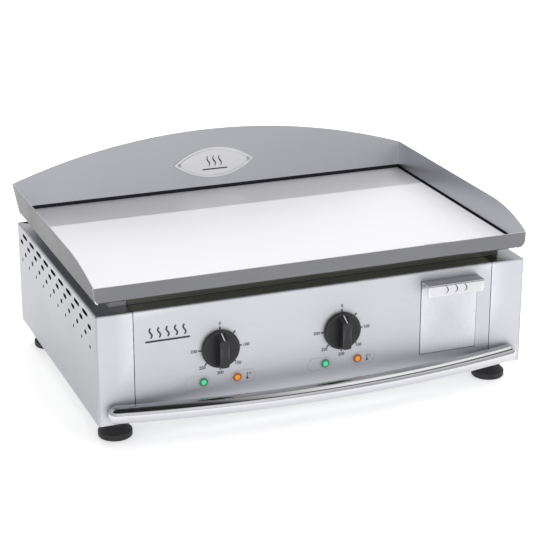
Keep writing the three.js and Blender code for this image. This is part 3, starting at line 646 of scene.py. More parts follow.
def wool_material():
    """Mineral wool: clumped fibres from two noises, in colour and bump."""
    tree, shader, place = start_material("mineral wool", (0.6, 0.56, 0.42), Roughness=0.95)
    clump = add_node(tree, "ShaderNodeTexNoise",
                     {"Vector": place, "Scale": 60.0, "Detail": 6.0, "Distortion": 1.5})
    tree.links.new(mix_colour(tree, clump.outputs[0], (0.68, 0.63, 0.48), (0.42, 0.38, 0.26)),
                   shader.inputs["Base Color"])
    relief = add_node(tree, "ShaderNodeBump",
                      {"Height": clump.outputs[0], "Strength": 0.8, "Distance": 0.002})
    tree.links.new(relief.outputs[0], shader.inputs["Normal"])


def print_material(name, colour):
    """Screen printed ink: a thin matt film whose edge and density vary a little."""
    tree, shader, place = start_material(name, colour)
    patch = add_node(tree, "ShaderNodeTexNoise", {"Vector": place, "Scale": 1500.0, "Detail": 2.0}).outputs[0]
    tree.links.new(mix_colour(tree, math_node(tree, "MULTIPLY", patch, 0.4), colour,
                              tuple(c + 0.12 for c in colour)),
                   shader.inputs["Base Color"])
    tree.links.new(math_node(tree, "ADD", math_node(tree, "MULTIPLY", patch, 0.2), 0.35),
                   shader.inputs["Roughness"])
    relief = add_node(tree, "ShaderNodeBump", {"Height": patch, "Strength": 0.1, "Distance": 0.00005})
    tree.links.new(relief.outputs[0], shader.inputs["Normal"])


class GRIDDLE_OT_finishes(bpy.types.Operator):
    """Make the node groups and every finish"""
    bl_idname = "griddle.finishes"
    bl_label = "Finishes"

    def execute(self, context):
        make_grain_group()
        make_smudge_group()
        make_wear_and_highlight_group()
        make_scratch_group()
        look = context.scene.griddle_finishes
        steel = tuple(look.steel)
        along_x_grain, along_y_grain = (14.0, 1500.0, 1500.0), (1500.0, 14.0, 1500.0)
        metal("brushed front", steel, 0.54, along_x_grain, grain=0.28, scratch=0.0)
        # Darker copy of the brushed steel, grained along Y, for the side panels: painted shade on faces
        # turned away from the light; the drawer pan and drain chute use it too.
        metal("brushed side", tuple(c * 0.68 for c in steel), 0.4, along_y_grain, grain=0.3, scratch=0.0)
        metal("brushed guard", tuple(c * 0.92 for c in steel), 0.34, along_x_grain, grain=0.3, scratch=0.05)
        # Darkened copy of the brushed steel for the front rim's face: painted shade.
        metal("brushed rim painted shade", tuple(c * 0.29 for c in steel), 0.3, along_x_grain, grain=0.35, scratch=0.05)
        metal("brushed side guard", tuple(c * 0.9 for c in steel), 0.32, along_y_grain, grain=0.35,
              scratch=0.05)
        # Darkened copy of the brushed steel for the side guards' outward faces: painted shade, as they lean
        # out and down.
        metal("outer guard painted shade", tuple(c * 0.1 for c in steel), 0.34, along_y_grain, grain=0.4, scratch=0.05)
        # Darker copy of the brushed steel for the rear panel: painted shade.
        metal("brushed rear", tuple(c * 0.75 for c in steel), 0.4, along_x_grain, grain=0.3, scratch=0.0)
        metal("shaded ledge", (0.6, 0.6, 0.54), 0.5, along_x_grain, grain=0.3, scratch=0.0)
        metal("shaded collar", (0.15, 0.15, 0.135), 0.3, along_x_grain, grain=0.3, scratch=0.0)
        # Near black steel for the vent walls and the guards' folds: painted shade where these recesses lie in
        # shadow.
        metal("groove painted shade", (0.035, 0.035, 0.045), 0.5, along_x_grain, grain=0.3, scratch=0.0)
        # Polished steel for the rail and knob shafts, also put on the rim's and side guards' top edges as a
        # painted highlight.
        metal("polished steel and painted highlight", tuple(look.polished), 0.09, along_x_grain, grain=0.12, bump=0.02,
              smudge=0.04, scratch=0.1)
        metal("handle steel", tuple(c * 0.92 for c in look.polished), 0.2, along_x_grain, grain=0.2,
              bump=0.03)
        # Darker copy of the handle's steel for its upward faces: painted shade on the handle's top.
        metal("handle top painted shade", tuple(c * 0.78 for c in look.polished), 0.25, along_x_grain, grain=0.3, bump=0.03)
        metal("chromed plate", tuple(look.chrome), 0.34, along_x_grain, grain=0.1, bump=0.02, smudge=0.04,
              scratch=0.2, metallic=0.25)
        # Greyer copy of the plate's finish for the strip before the back guard: a painted reflection of the
        # guard.
        metal("plate painted guard reflection", tuple(c * 0.82 for c in look.chrome), 0.3, along_x_grain, grain=0.1,
              bump=0.02, scratch=0.2, metallic=0.6)
        metal("nameplate steel", (0.92, 0.92, 0.96), 0.32, along_x_grain, grain=0.3)
        metal("engraved ground", (0.05, 0.05, 0.055), 0.42, along_x_grain, grain=0.5)
        metal("galvanised", (0.5, 0.51, 0.52), 0.42, (160.0, 160.0, 160.0), grain=0.9, smudge=0.15)
        metal("aluminium", (0.6, 0.61, 0.62), 0.38, along_x_grain, grain=0.6)
        metal("element sheath", (0.16, 0.15, 0.13), 0.5, (300.0, 300.0, 300.0), grain=0.8)
        metal("copper bulb", (0.62, 0.36, 0.16), 0.3, (60.0, 900.0, 900.0), grain=0.6, smudge=0.12)
        moulded("knob plastic", tuple(look.knob), 0.42, spot=700.0, IOR=1.36)
        moulded("thermostat plastic", (0.045, 0.04, 0.035), 0.5)
        moulded("black nylon", (0.025, 0.025, 0.028), 0.45)
        moulded("foot rubber", tuple(look.rubber), 0.62, spot=500.0, bump=0.35, light=0.35)
        moulded("ceramic", (0.78, 0.75, 0.67), 0.45, light=0.2)
        moulded("lamp bezel", (0.55, 0.56, 0.56), 0.3, light=0.6)
        print_material("print black", (0.012, 0.012, 0.014))
        print_material("print grey", (0.3, 0.3, 0.32))
        print_material("pointer white", (0.85, 0.85, 0.85))
        lens_material("green lens", tuple(look.green), 0.3)
        lens_material("orange lens", tuple(look.orange), 0.3)
        wool_material()
        return {"FINISHED"}


# ---- body ----------------------------------------------------------------------------------------

def wall_section(levels, back=15.0):
    """Middle of a body wall from its lower return over the bends to the collar, as (inward, z), with the
    upright's given levels added."""
    r = bpy.context.scene.griddle_sizes.bend / MM
    line = rounded([(back, UNDERSIDE), (0, UNDERSIDE, r), (0, LEDGE_Z, r), (LEDGE_W, LEDGE_Z, 1.2),
                    (LEDGE_W, COLLAR_TOP)])
    turn = np.flatnonzero((line[:, 0] < 1e-6) & (line[:, 1] < UNDERSIDE + 2 * r))[-1] + 1
    upright = np.stack([np.zeros(len(levels)), np.asarray(levels)], -1)
    return np.concatenate([line[:turn], upright, line[turn:]]), turn


def side_panel(word, side):
    """Folded sheet: each point of the wall section runs along an L in plan, whose corner arc has radius
    bend - inward where that is above nothing and is a plain mitre beyond."""
    bend = bpy.context.scene.griddle_sizes.bend / MM
    rows = [120.2, 133.15, 146.4, 159.3, 171.5]
    levels = np.concatenate(
        [[75.0]] + [np.linspace(a, b, 6, endpoint=False) for a, b in zip(rows, rows[1:])] + [[171.5]])
    section, turn = wall_section(levels)
    inward, z = section[:, 0], section[:, 1]
    centre = np.maximum(bend, inward)
    radius = np.maximum(bend - inward, 0)
    seam = SEAM_X + SEAM
    front_t = np.array([0.0, 0.5])
    front_x = seam + front_t[:, None] * (HALF - centre - seam)
    front_y = np.repeat(inward[None], len(front_t), 0)
    angle = np.linspace(0, math.pi / 2, 9)[:, None]
    bend_x = HALF - centre + radius * np.sin(angle)
    bend_y = centre - radius * np.cos(angle)
    lattice = np.concatenate([7.9 + np.arange(61) * VENT_PITCH / 6, [DEPTH]])
    run = ((lattice - bend) / (DEPTH - bend))[:, None]
    end = np.where(z > LEDGE_Z + SHEET, COLLAR_BACK, np.where(inward > bend, DEPTH - 1.8, DEPTH))
    side_x = np.repeat((HALF - inward)[None], len(lattice), 0)
    side_y = centre + run * (end - centre)
    x = np.concatenate([front_x, bend_x, side_x])
    y = np.concatenate([front_y, bend_y, side_y])
    points = np.stack([side * x, y, np.broadcast_to(z, x.shape)], -1)
    first = len(front_t) + len(angle)
    blocks = []
    for row, (length, height, start) in enumerate(VENT_ROWS[::-1]):
        j0 = turn + 1 + 6 * row
        count = 10 if start < 40 else 9
        for k in range(count):
            y_mid = start + k * VENT_PITCH
            i0 = first + int(round((y_mid - VENT_PITCH / 2 - 7.9) / (VENT_PITCH / 6)))
            blocks.append((i0, i0 + 6, j0, j0 + 6, np.array([side * HALF, y_mid, height]),
                           slot_reach(length, VENT_H)))
    surface = pierced(points, blocks, (-side, 0, 0))
    return piece(f"{word}_side_skin", shell(surface, SHEET), "chassis", "brushed side",
                 [f"{word}_side_panel"],
                 # The side panel's front return takes the front's brighter copy and the rest the darker one:
                 # painted shade on the side.
                 more=[("brushed front", lambda x, y, z, n: (y < 1.2) & (np.abs(x) < HALF - 2.4)),
                       ("shaded collar",
                        lambda x, y, z, n: (x > 0) & (y > 2) & (y < 29) & (x < COLLAR_HALF) & (z > 150)),
                       # The vent slots' walls and lips take the near black finish: painted shade in the
                       # openings.
                       ("groove painted shade", lambda x, y, z, n: (np.abs(x) < HALF - 0.02) & (np.abs(x) > HALF - 1.4)
                        & (y > 15) & (z > 115) & (z < 172))])


def front_panel():
    """The wall section carried straight along X, left open where the drawer goes in."""
    xs = np.array([-SEAM_X + SEAM, -150, -50, 50, *DRAWER_GAP, SEAM_X - SEAM])
    low, high = DRAWER_GAP_Z
    section, turn = wall_section([low, 110.0, high], 20.0)
    points = np.empty((len(xs), len(section), 3))
    points[..., 0] = xs[:, None]
    points[..., 1:] = section
    surface = pierced(points, [], (0, 1, 0), skip=[(4, 5, turn, turn + 2)])
    return piece("front_skin", shell(surface, SHEET), "chassis", "brushed front",
                 ["front_panel"],
                 more=[("shaded collar", lambda x, y, z, n: (y > LEDGE_W - 2) & (z > 150)),
                       ("shaded ledge", lambda x, y, z, n: (y > 3.4) & (y <= LEDGE_W - 2) & (z > 150))])


def rear_panel():
    """As the front, turned to face back, with two banks of upright slots; its ledge is narrower than
    its wall."""
    levels = np.linspace(99.0, 151.0, 13)
    section, turn = wall_section(levels, 12.0)
    pitch = 14.0
    bank = [np.linspace(-pitch / 2, pitch / 2, 5)[:-1] + x for x in
            np.concatenate([middle + (np.arange(8) - 3.5) * pitch for middle in (-REAR_BANK_X, REAR_BANK_X)])]
    xs = np.concatenate([[-REAR_HALF], np.concatenate(bank[:8]), [-REAR_BANK_X + 4 * pitch, 0],
                         np.concatenate(bank[8:]), [REAR_BANK_X + 4 * pitch, REAR_HALF]])
    narrow = np.where((section[:, 0] > BEND_R) & (section[:, 1] > 100), REAR_COLLAR_HALF / REAR_HALF,
                      1.0)
    points = np.empty((len(xs), len(section), 3))
    points[..., 0] = xs[:, None] * narrow
    points[..., 1] = DEPTH - section[:, 0]
    points[..., 2] = section[:, 1]
    blocks = []
    for k in range(16):
        i0 = 1 + 4 * k + (2 if k > 7 else 0)
        middle = np.array([xs[i0] + pitch / 2, DEPTH, REAR_SLOT_Z])
        blocks.append((i0, i0 + 4, turn, turn + 12, middle, upright_reach(*REAR_SLOT)))
    surface = pierced(points, blocks, (0, -1, 0))
    return piece("rear_skin", shell(surface, SHEET), "chassis", "brushed rear",
                 ["rear_panel"])


def upright_reach(width, height):
    """A round-ended slot standing upright: the lying slot's reach with c and s exchanged."""
    lying = slot_reach(height, width)
    return lambda c, s: lying(s, c)


class GRIDDLE_OT_body(bpy.types.Operator):
    """Make the folded body panels with their vents"""
    bl_idname = "griddle.body"
    bl_label = "Body panels"

    def execute(self, context):
        for word, side in SIDES:
            side_panel(word, side)
        front_panel()
        rear_panel()
        return {"FINISHED"}


class GRIDDLE_OT_rail(bpy.types.Operator):
    """Make the bowed front rail"""
    bl_idname = "griddle.rail"
    bl_label = "Front rail"

    def execute(self, context):
        r = context.scene.griddle_sizes.rail_radius / MM
        low, high = corners("front_rail")
        half = high[0] - r
        z = (low[2] + high[2]) / 2
        steps, sides = 97, 72
        end_y = -7.0
        bow = end_y - (low[1] + r)
        radius = (half ** 2 + bow ** 2) / (2 * bow)
        turn = np.linspace(-1, 1, steps) * math.asin(half / radius)
        path = np.stack([radius * np.sin(turn), end_y - bow + radius * (1 - np.cos(turn)),
                         np.full(steps, z)], -1)
        ball = np.linspace(0, math.pi / 2, 13)[1:]
        out = r * np.sin(ball)
        way = np.array([math.cos(turn[-1]), math.sin(turn[-1]), 0])
        right = path[-1] + out[:, None] * way
        left = path[0] + out[::-1, None] * way * (-1, 1, 1)
        size = np.concatenate([r * np.cos(ball[::-1]), np.full(steps, r), r * np.cos(ball)])
        path = np.concatenate([left, path, right])
        flat = np.gradient(path, axis=0)
        flat /= np.linalg.norm(flat, axis=1, keepdims=True)
        t = np.linspace(0, 2 * math.pi, sides, endpoint=False)[:, None]
        aside = np.stack([-flat[:, 1], flat[:, 0], flat[:, 2]], -1)
        rings = path[:, None] + size[:, None, None] * (
            np.cos(t) * aside[:, None] + np.sin(t) * np.array([0, 0, 1.0]))
        rings[..., 1] = np.minimum(rings[..., 1], -0.3)
        surface = rings.reshape(-1, 3), quad_grid(len(path), sides, wrap=True)
        piece("rail", surface, "chassis", "polished steel and painted highlight", ["front_rail"], sharp=50)
        return {"FINISHED"}


# ---- plate and guards ------------------------------------------------------------------------------

def guard_line(flange, top, lean=0.0, thick=SHEET):
    """Middle of a guard seen on edge: flange, fold, and a wall up to the given top, with a point just above
    the plate."""
    h = thick / 2
    rise = (PLATE_TOP + 1.8 - FLANGE_Z - h) / (top - FLANGE_Z - h)
    return rounded([(flange, FLANGE_Z + h), (h, FLANGE_Z + h, FOLD_R - h), (h - lean * rise, PLATE_TOP + 1.8),
                    (h - lean, top)])


def front_rim():
    """The rim's outline along X. Near each end its lower edge rises along a quarter ellipse, and what lies
    under that edge is drawn up into the wall."""
    loop = strip_outline(guard_line(FLANGE_W, RIM_HIGH[2]))
    half = RIM_HIGH[0]
    end = 11.0
    near = end * (1 - np.cos(np.linspace(0, math.pi / 2, 15)))
    xs = np.concatenate([-half + near, np.linspace(-half + end, half - end, 24)[1:-1], (half - near)[::-1]])
    rings = along_x(loop, xs)
    inset = np.clip((end - (half - np.abs(xs))) / end, 0, 1)
    low = FLANGE_Z + (1 - np.sqrt(1 - inset ** 2)) * 12.0
    low = np.where(inset > 0, low, FLANGE_Z - 1)[:, None]
    under = rings[..., 2] < low
    rings[..., 1] = np.where(under, np.clip(rings[..., 1], 0, SHEET), rings[..., 1])
    rings[..., 2] = np.maximum(rings[..., 2], low)
    inner = np.abs(rings[..., 0]) > 289.0
    rings[..., 1] = np.where(inner & (rings[..., 1] > SHEET), SHEET, rings[..., 1])
    # The rim's face takes the darkened copy of the steel: painted shade.
    return piece("rim", swept(rings), "chassis", "brushed rim painted shade", ["front_rim"], sharp=40,
                 # The rim's top faces take the polished finish: a painted highlight along its top edge.
                 more=[("polished steel and painted highlight", lambda x, y, z, n: (n[2] > 0.5) & (z > RIM_HIGH[2] - 2))])


def side_guard(word, side):
    """The guard's outline at each y. Its wall is cut at the top curve, an arc that falls from the guard's
    height to the rim's over the first hundred millimetres, and its back end leans with the back guard."""
    top = GUARD_HIGH[2]
    loop = strip_outline(guard_line(FLANGE_W, top, SPLAY))
    across, z = loop[:, 0], loop[:, 1]
    start = np.where(across > FOLD_R + 0.3, FLANGE_W + 0.3, SHEET + 0.3)
    drop = top - RIM_HIGH[2]
    radius = (GUARD_CURVE ** 2 + drop ** 2) / (2 * drop)
    t = np.concatenate([np.linspace(0, 0.26, 31), np.linspace(0.26, 1, 12)[1:]])[:, None]
    rough_y = (SHEET + 0.3) + t * (BACK_Y - SHEET)
    before = np.maximum(GUARD_CURVE - rough_y, 0)
    fall = radius - np.sqrt(radius ** 2 - before ** 2)
    wall = z > PLATE_TOP + 2.5
    z_now = np.where(wall, z - fall, z)
    across_now = np.where(wall, across + SPLAY * fall / (top - FLANGE_Z - FOLD_R), across)
    back = BACK_Y + (z_now - PLATE_TOP) * math.tan(BACK_LEAN) - 0.4
    y = start + t * (back - start)
    rings = np.stack([side * (HALF - SHEET - across_now), y, z_now], -1)
    return piece(f"{word}_guard", swept(rings), "chassis", "brushed side guard",
                 [f"{word}_splash_guard"], sharp=40,
                 # Faces turned outwards take the darkened copy: painted shade.
                 more=[("outer guard painted shade", lambda x, y, z, n: n[0] * side > 0.5),
                       # The fold at the guard's foot takes the near black finish: painted shade in the groove
                       # by the plate.
                       ("groove painted shade",
                        lambda x, y, z, n: (z < PLATE_TOP + 2) & ((n[0] * side < 0) | (n[2] > 0.5))),
                       # The guard's top faces take the polished finish: a painted highlight along its top
                       # edge.
                       ("polished steel and painted highlight", lambda x, y, z, n: (n[2] > 0.5) & (z > PLATE_TOP + 6))])


def back_guard():
    """The back guard's outline at each x: the wall leans back 15 degrees and its upper edge follows one arc
    from shoulder to shoulder. Its width grows with height like the side guards' splay."""
    h = SHEET / 2
    tilt, lift = math.sin(BACK_LEAN), math.cos(BACK_LEAN)
    up = (CROWN - PLATE_TOP) / lift

    def wall(s):
        return np.array([BACK_Y + h * lift + s * tilt, PLATE_TOP - h * tilt + s * lift])
    foot = (FLANGE_Z + h - PLATE_TOP + h * tilt) / lift
    line = rounded([(BACK_Y - 24, FLANGE_Z + h), (*wall(foot), FOLD_R - h), tuple(wall(3.8)),
                    tuple(wall(up))])
    loop = strip_outline(line)
    wide = GUARD_HIGH[0]
    shoulder = (GUARD_HIGH[2] - PLATE_TOP) / lift
    rise = up - shoulder
    radius = (wide ** 2 + rise ** 2) / (2 * rise)
    s = np.linspace(-1, 1, 121)[:, None]
    fall = radius - np.sqrt(radius ** 2 - (s * wide) ** 2)
    upper = loop[:, 1] > PLATE_TOP + 4
    y = loop[:, 0] - np.where(upper, fall * tilt, 0)
    z = loop[:, 1] - np.where(upper, fall * lift, 0)
    share = np.clip((z - FLANGE_Z) / (GUARD_HIGH[2] - FLANGE_Z), 0, 1)
    reach = np.where(loop[:, 0] < BACK_Y - 5, 265.0, HALF - 2 + (wide - HALF + 2) * share)
    rings = np.stack([s * reach, y, z], -1)
    return piece("back_guard", swept(rings), "chassis", "brushed guard",
                 ["back_splash_guard"], sharp=40,
                 # The fold at the guard's foot takes the near black finish: painted shade in the groove by
                 # the plate.
                 more=[("groove painted shade",
                        lambda x, y, z, n: (z < PLATE_TOP + 4) & ((n[1] < 0) | (n[2] > 0.5)))])


def plate():
    """Flat skin with the grease slot let in near the front right."""
    x, y, width, depth = DRAIN
    xs = np.concatenate([[PLATE_LOW[0]], np.linspace(x - width / 2 - 7, x + width / 2 + 7, 13),
                         [PLATE_HIGH[0]]])
    ys = np.concatenate([[PLATE_LOW[1]], np.linspace(y - depth / 2 - 6, y + depth / 2 + 6, 11),
                         [PLATE_HIGH[1] - GUARD_REFLECTION_DEPTH, PLATE_HIGH[1]]])
    points = np.stack(np.broadcast_arrays(xs[:, None], ys[None], PLATE_TOP), -1).astype(float)
    block = (1, 13, 1, 11, np.array([x, y, PLATE_TOP]), box_reach(width, depth))
    surface = shell(pierced(points, [block], (0, 0, -1), edge=0.8), PLATE_HIGH[2] - PLATE_LOW[2])
    return piece("plate", surface, "chassis", "chromed plate", ["griddle_plate"],
                 # The strip before the back guard takes the greyer copy: a painted reflection of the guard.
                 more=[("plate painted guard reflection", lambda x, y, z, n: y > PLATE_HIGH[1] - GUARD_REFLECTION_DEPTH)])


class GRIDDLE_OT_guards(bpy.types.Operator):
    """Make the plate, the front rim and the three splash guards"""
    bl_idname = "griddle.guards"
    bl_label = "Plate and guards"

    def execute(self, context):
        plate()
        front_rim()
        for word, side in SIDES:
            side_guard(word, side)
        back_guard()
        return {"FINISHED"}


def on_guard(points):
    """Puts points given as (x, out, up) on the back guard's inner face: up runs along the wall from the
    plate's level, out stands square off it."""
    x, out, up = np.moveaxis(np.asarray(points, float), -1, 0)
    tilt, lift = math.sin(BACK_LEAN), math.cos(BACK_LEAN)
    return np.stack([x, BACK_Y + up * tilt - out * lift, PLATE_TOP + up * lift + out * tilt], -1)


def lens_outline(shrink, count=64):
    """Two equal arcs that meet at the tips, all drawn in by shrink."""
    half, rise = BADGE_HALF - 1.9 * shrink, BADGE_RISE - shrink
    radius = (half ** 2 + rise ** 2) / (2 * rise)
    turn = np.linspace(-1, 1, count // 2 + 1)[:-1] * math.asin(half / radius)
    arc = np.stack([radius * np.sin(turn), rise - radius + radius * np.cos(turn)], -1)
    return np.concatenate([arc, -arc])


def heat_waves(middle, gap, height, swing, count=3, steps=28):
    """Upright wavy lines side by side: x = middle + k gap + swing sin(2 pi z / height)."""
    z = np.linspace(0, height, steps)
    return [np.stack([middle + (k - (count - 1) / 2) * gap + swing * np.sin(2 * math.pi * z / height), z], -1)
            for k in range(count)]


def nameplate():
    """Lens-shaped plate on the back guard: rings from the middle out to a raised border and down its
    edge."""
    rings = [(20.0, 1.0), (6.5, 1.0), (4.4, 1.0), (4.1, 1.35), (3.4, 1.4), (3.0, 1.0), (0.9, 1.0),
             (0.25, 0.85), (0.0, 0.5), (0.0, 0.3)]
    shapes = [lens_outline(shrink) for shrink, _ in rings]
    levels = [np.concatenate([shape, np.full((len(shape), 1), out)], 1)[:, [0, 2, 1]]
              for shape, (_, out) in zip(shapes, rings)]
    middle = np.zeros_like(levels[0])
    top, under = middle + (0, 1.0, 0), middle + (0, 0.3, 0)
    stack = np.stack([top] + levels + [under])
    stack[..., 2] += BADGE_UP
    surface = on_guard(stack.reshape(-1, 3)), quad_grid(len(stack), stack.shape[1], wrap=True)
    piece("nameplate_skin", surface, "chassis", "nameplate steel", ["nameplate"])
    waves = []
    for line in heat_waves(0, 9.0, 15.0, 1.7):
        path = np.stack([line[:, 0], np.full(len(line), 1.05), line[:, 1] + BADGE_UP - 5.5], -1)
        waves.append(tube(path, 0.95 * np.sin(np.linspace(0.35, math.pi - 0.35, len(path))), 12))
    bar = np.stack([np.linspace(-19, 19, 20), np.full(20, 1.05), np.full(20, BADGE_UP - 9.5)], -1)
    waves.append(tube(bar, 0.9, 12, up=(0, 0, 1)))
    points, quads = join(*waves)
    piece("nameplate_motif", (on_guard(points), quads), "chassis", "engraved ground")
    for word, side in SIDES:
        head = revolved([(0, 2.7), (1.2, 2.65), (2.1, 2.3), (2.55, 1.7), (2.6, 1.1), (1.3, 1.0), (1.2, 0.3),
                         (0, 0.3)], 24)
        points = head[0][:, [0, 2, 1]] + (side * BADGE_SCREW_X, 0, BADGE_UP)
        piece(f"nameplate_screw_head_{word}", (on_guard(points), head[1]), "chassis",
              "brushed side guard", [f"nameplate_screw_{word}"])


class GRIDDLE_OT_nameplate(bpy.types.Operator):
    """Make the nameplate with its heat-wave motif and two screws"""
    bl_idname = "griddle.nameplate"
    bl_label = "Nameplate"

    def execute(self, context):
        nameplate()
        return {"FINISHED"}


# ---- controls --------------------------------------------------------------------------------------

def knob(word):
    """Skirt: a turned disc. Bar: at each height its outline is the smooth lesser of a circle, which narrows
    with height, and a strip, which flares at its foot; the circle narrows faster towards the pointer, with
    the square of the sine, and the top edge is a quarter circle."""
    x, _, z = KNOBS[word]
    sides = 96
    skirt = revolved([(0, 0.6), (24.2, 0.6), (24.8, 0.8), (25, 1.3), (25, 4.6), (24.8, 5.3), (24.2, 5.8),
                      (23.4, 6.0), (22.2, 6.0), (21.8, 5.7), (21.2, 5.6), (0, 5.6)], sides, forward=True)
    t = np.linspace(0, 2 * math.pi, sides * 2, endpoint=False)
    c, s = np.abs(np.cos(t)), np.abs(np.sin(t))
    heights = np.concatenate([np.linspace(4.0, 6.0, 3), 6 + 12.2 * np.linspace(0, 1, 10)[1:] ** 1.3])
    turn = np.linspace(0, math.pi / 2, 7)[1:]
    heights_all = np.concatenate([heights, 18.2 + 0.8 * np.sin(turn)])
    inset = np.concatenate([np.zeros(len(heights)), 0.8 * (1 - np.cos(turn))])
    slope = 4.1 + 4.6 * np.clip(np.sin(t), 0, 1) ** 2
    circle = 24.5 - slope * (heights_all[:, None] - 1) / 18 - inset[:, None]
    strip = (6.2 + 1.6 * np.exp(-(heights_all - 4.5) / 1.6) - inset)[:, None]
    power = 16
    reach = (circle ** -power + (c / strip) ** power) ** (-1 / power)
    rings = np.stack([reach * np.cos(t), np.broadcast_to(-heights_all[:, None], reach.shape),
                      reach * np.sin(t)], -1)
    top = np.broadcast_to([0, -19.0, 0], (1, len(t), 3))
    foot = np.broadcast_to([0, -4.0, 0], (1, len(t), 3))
    rings = np.concatenate([foot, rings, top])
    bar = rings.reshape(-1, 3), quad_grid(len(rings), len(t), wrap=True)
    points, quads = join(outward(weld(skirt), (0, -3, 0)), outward(weld(bar), (0, -10, 0)))
    piece(f"knob_{word}_moulding", (points + (x, 0, z), quads), f"knob_{word}",
          "knob plastic", [f"knob_{word}"], sharp=45)
    h = np.linspace(3.4, 18.0, 12)
    out = 24.5 - 8.7 * (h - 1) / 18
    ring = np.array([(-0.65, -0.5), (-0.65, 0.08), (-0.45, 0.16), (0.45, 0.16), (0.65, 0.08), (0.65, -0.5)])
    rings = np.stack([np.broadcast_to(ring[:, 0], (12, 6)), np.broadcast_to(-h[:, None], (12, 6)),
                      out[:, None] + ring[:, 1]], -1)
    points, quads = swept(rings)
    piece(f"knob_{word}_pointer", (points + (x, 0, z), quads), f"knob_{word}",
          "pointer white")


class GRIDDLE_OT_knobs(bpy.types.Operator):
    """Make the two thermostat knobs with their white pointers"""
    bl_idname = "griddle.knobs"
    bl_label = "Knobs"

    def execute(self, context):
        for word, _ in SIDES:
            knob(word)
        return {"FINISHED"}


def lamp(word, use, step, finish):
    """A turned bezel with a stepped, domed lens in it."""
    spot = (KNOBS[word][0] + step * LAMP_DX, 0, LAMP_Z)
    bezel = revolved([(5.85, 0.3), (6.3, 0.3), (6.3, 1.0), (6.2, 1.3), (6.05, 1.4), (5.9, 1.3), (5.85, 0.9),
                      (5.85, 0.3)], 48, spot, forward=True)
    piece(f"{use}_lamp_ring_{word}", bezel, "chassis", "lamp bezel")
    profile = [(0, -1.5), (5.0, -1.5), (5.0, 0.4), (5.8, 0.5), (5.75, 1.3), (5.4, 1.8), (4.7, 2.1),
               (3.9, 2.3), (3.75, 2.0), (3.6, 1.95), (2.5, 2.3), (1.3, 2.5), (1.0, 2.2), (0, 2.2)]
    points, quads = weld(revolved(profile, 48, spot, forward=True))
    across = np.hypot(points[:, 0] - spot[0], points[:, 2] - spot[2]) / 5.8
    piece(f"{use}_lamp_glass_{word}", (points, quads), "chassis", finish,
          [f"{use}_lamp_lens_{word}"], values=across)


class GRIDDLE_OT_lamps(bpy.types.Operator):
    """Make the green and orange pilot lamps"""
    bl_idname = "griddle.lamps"
    bl_label = "Pilot lamps"

    def execute(self, context):
        for word, _ in SIDES:
            lamp(word, "power", -1, "green lens")
            lamp(word, "heat", 1, "orange lens")
        return {"FINISHED"}


# ---- printed marks ---------------------------------------------------------------------------------

PRINT_LIFT = 0.12


def stroke(line, width):
    """A printed line: a flat strip of the given width along a line of (x, z), closed and PRINT_LIFT
    proud."""
    loop = strip_outline(line, width, (False, False))
    n = len(loop) // 2
    a, b = loop[:n], loop[n:][::-1]
    rings = np.stack([a, b, b, a], 1)
    out = np.array([0.02, 0.02, -PRINT_LIFT, -PRINT_LIFT])
    rings = np.concatenate([rings[..., :1], np.broadcast_to(out[:, None], (n, 4, 1)), rings[..., 1:]], -1)
    return swept(rings)


def ring_stroke(line, width):
    """A printed line that closes on itself: the same strip without ends."""
    line = np.asarray(line, float)
    way = np.roll(line, -1, 0) - np.roll(line, 1, 0)
    way /= np.linalg.norm(way, axis=1, keepdims=True)
    aside = np.stack([-way[:, 1], way[:, 0]], -1) * width / 2
    a, b = line + aside, line - aside
    flat = np.stack([a, b, b, a], 1)
    out = np.broadcast_to(np.array([0.02, 0.02, -PRINT_LIFT, -PRINT_LIFT])[:, None], (len(line), 4, 1))
    rings = np.concatenate([flat[..., :1], out, flat[..., 1:]], -1)
    rings = np.concatenate([rings, rings[:1]])
    return rings.reshape(-1, 3), quad_grid(len(rings), 4, wrap=True)


def pill(x0, x1, z, height):
    """Outline with two straight sides and two half circles."""
    r = height / 2
    t = np.linspace(-math.pi / 2, math.pi / 2, 17)
    right = np.stack([x1 + r * np.cos(t), z + r * np.sin(t)], -1)
    left = np.stack([x0 - r * np.cos(t), z - r * np.sin(t)], -1)
    return np.concatenate([right, left])


def dot(x, z, r, sides=20):
    """A printed disc."""
    profile = [(0, -0.02), (r, -0.02), (r, PRINT_LIFT), (0, PRINT_LIFT)]
    return revolved(profile, sides, (x, 0, z), forward=True)


def number(text, x, z, size):
    """A number set upright with its middle at (x, z), made from the built-in typeface and given the
    print's thickness. A triangle's last corner is doubled."""
    curve = bpy.data.curves.new("number", "FONT")
    curve.body = text
    curve.size = size
    curve.align_x = "CENTER"
    curve.align_y = "CENTER"
    curve.resolution_u = 3
    curve.offset = 0.16
    curve.extrude = PRINT_LIFT / 2
    holder = bpy.data.objects.new("number", curve)
    mesh = bpy.data.meshes.new_from_object(holder)
    flat = np.zeros(3 * len(mesh.vertices))
    mesh.vertices.foreach_get("co", flat)
    flat = flat.reshape(-1, 3)
    start, total = np.empty((2, len(mesh.polygons)), np.int32)
    mesh.polygons.foreach_get("loop_start", start)
    mesh.polygons.foreach_get("loop_total", total)
    ends = np.empty(len(mesh.loops), np.int32)
    mesh.loops.foreach_get("vertex_index", ends)
    faces = ends[start[:, None] + np.minimum(np.arange(4), total[:, None] - 1)]
    bpy.data.objects.remove(holder)
    bpy.data.curves.remove(curve)
    bpy.data.meshes.remove(mesh)
    return np.stack([flat[:, 0] + x, -flat[:, 2] - PRINT_LIFT / 2 + 0.02, flat[:, 1] + z], -1), faces


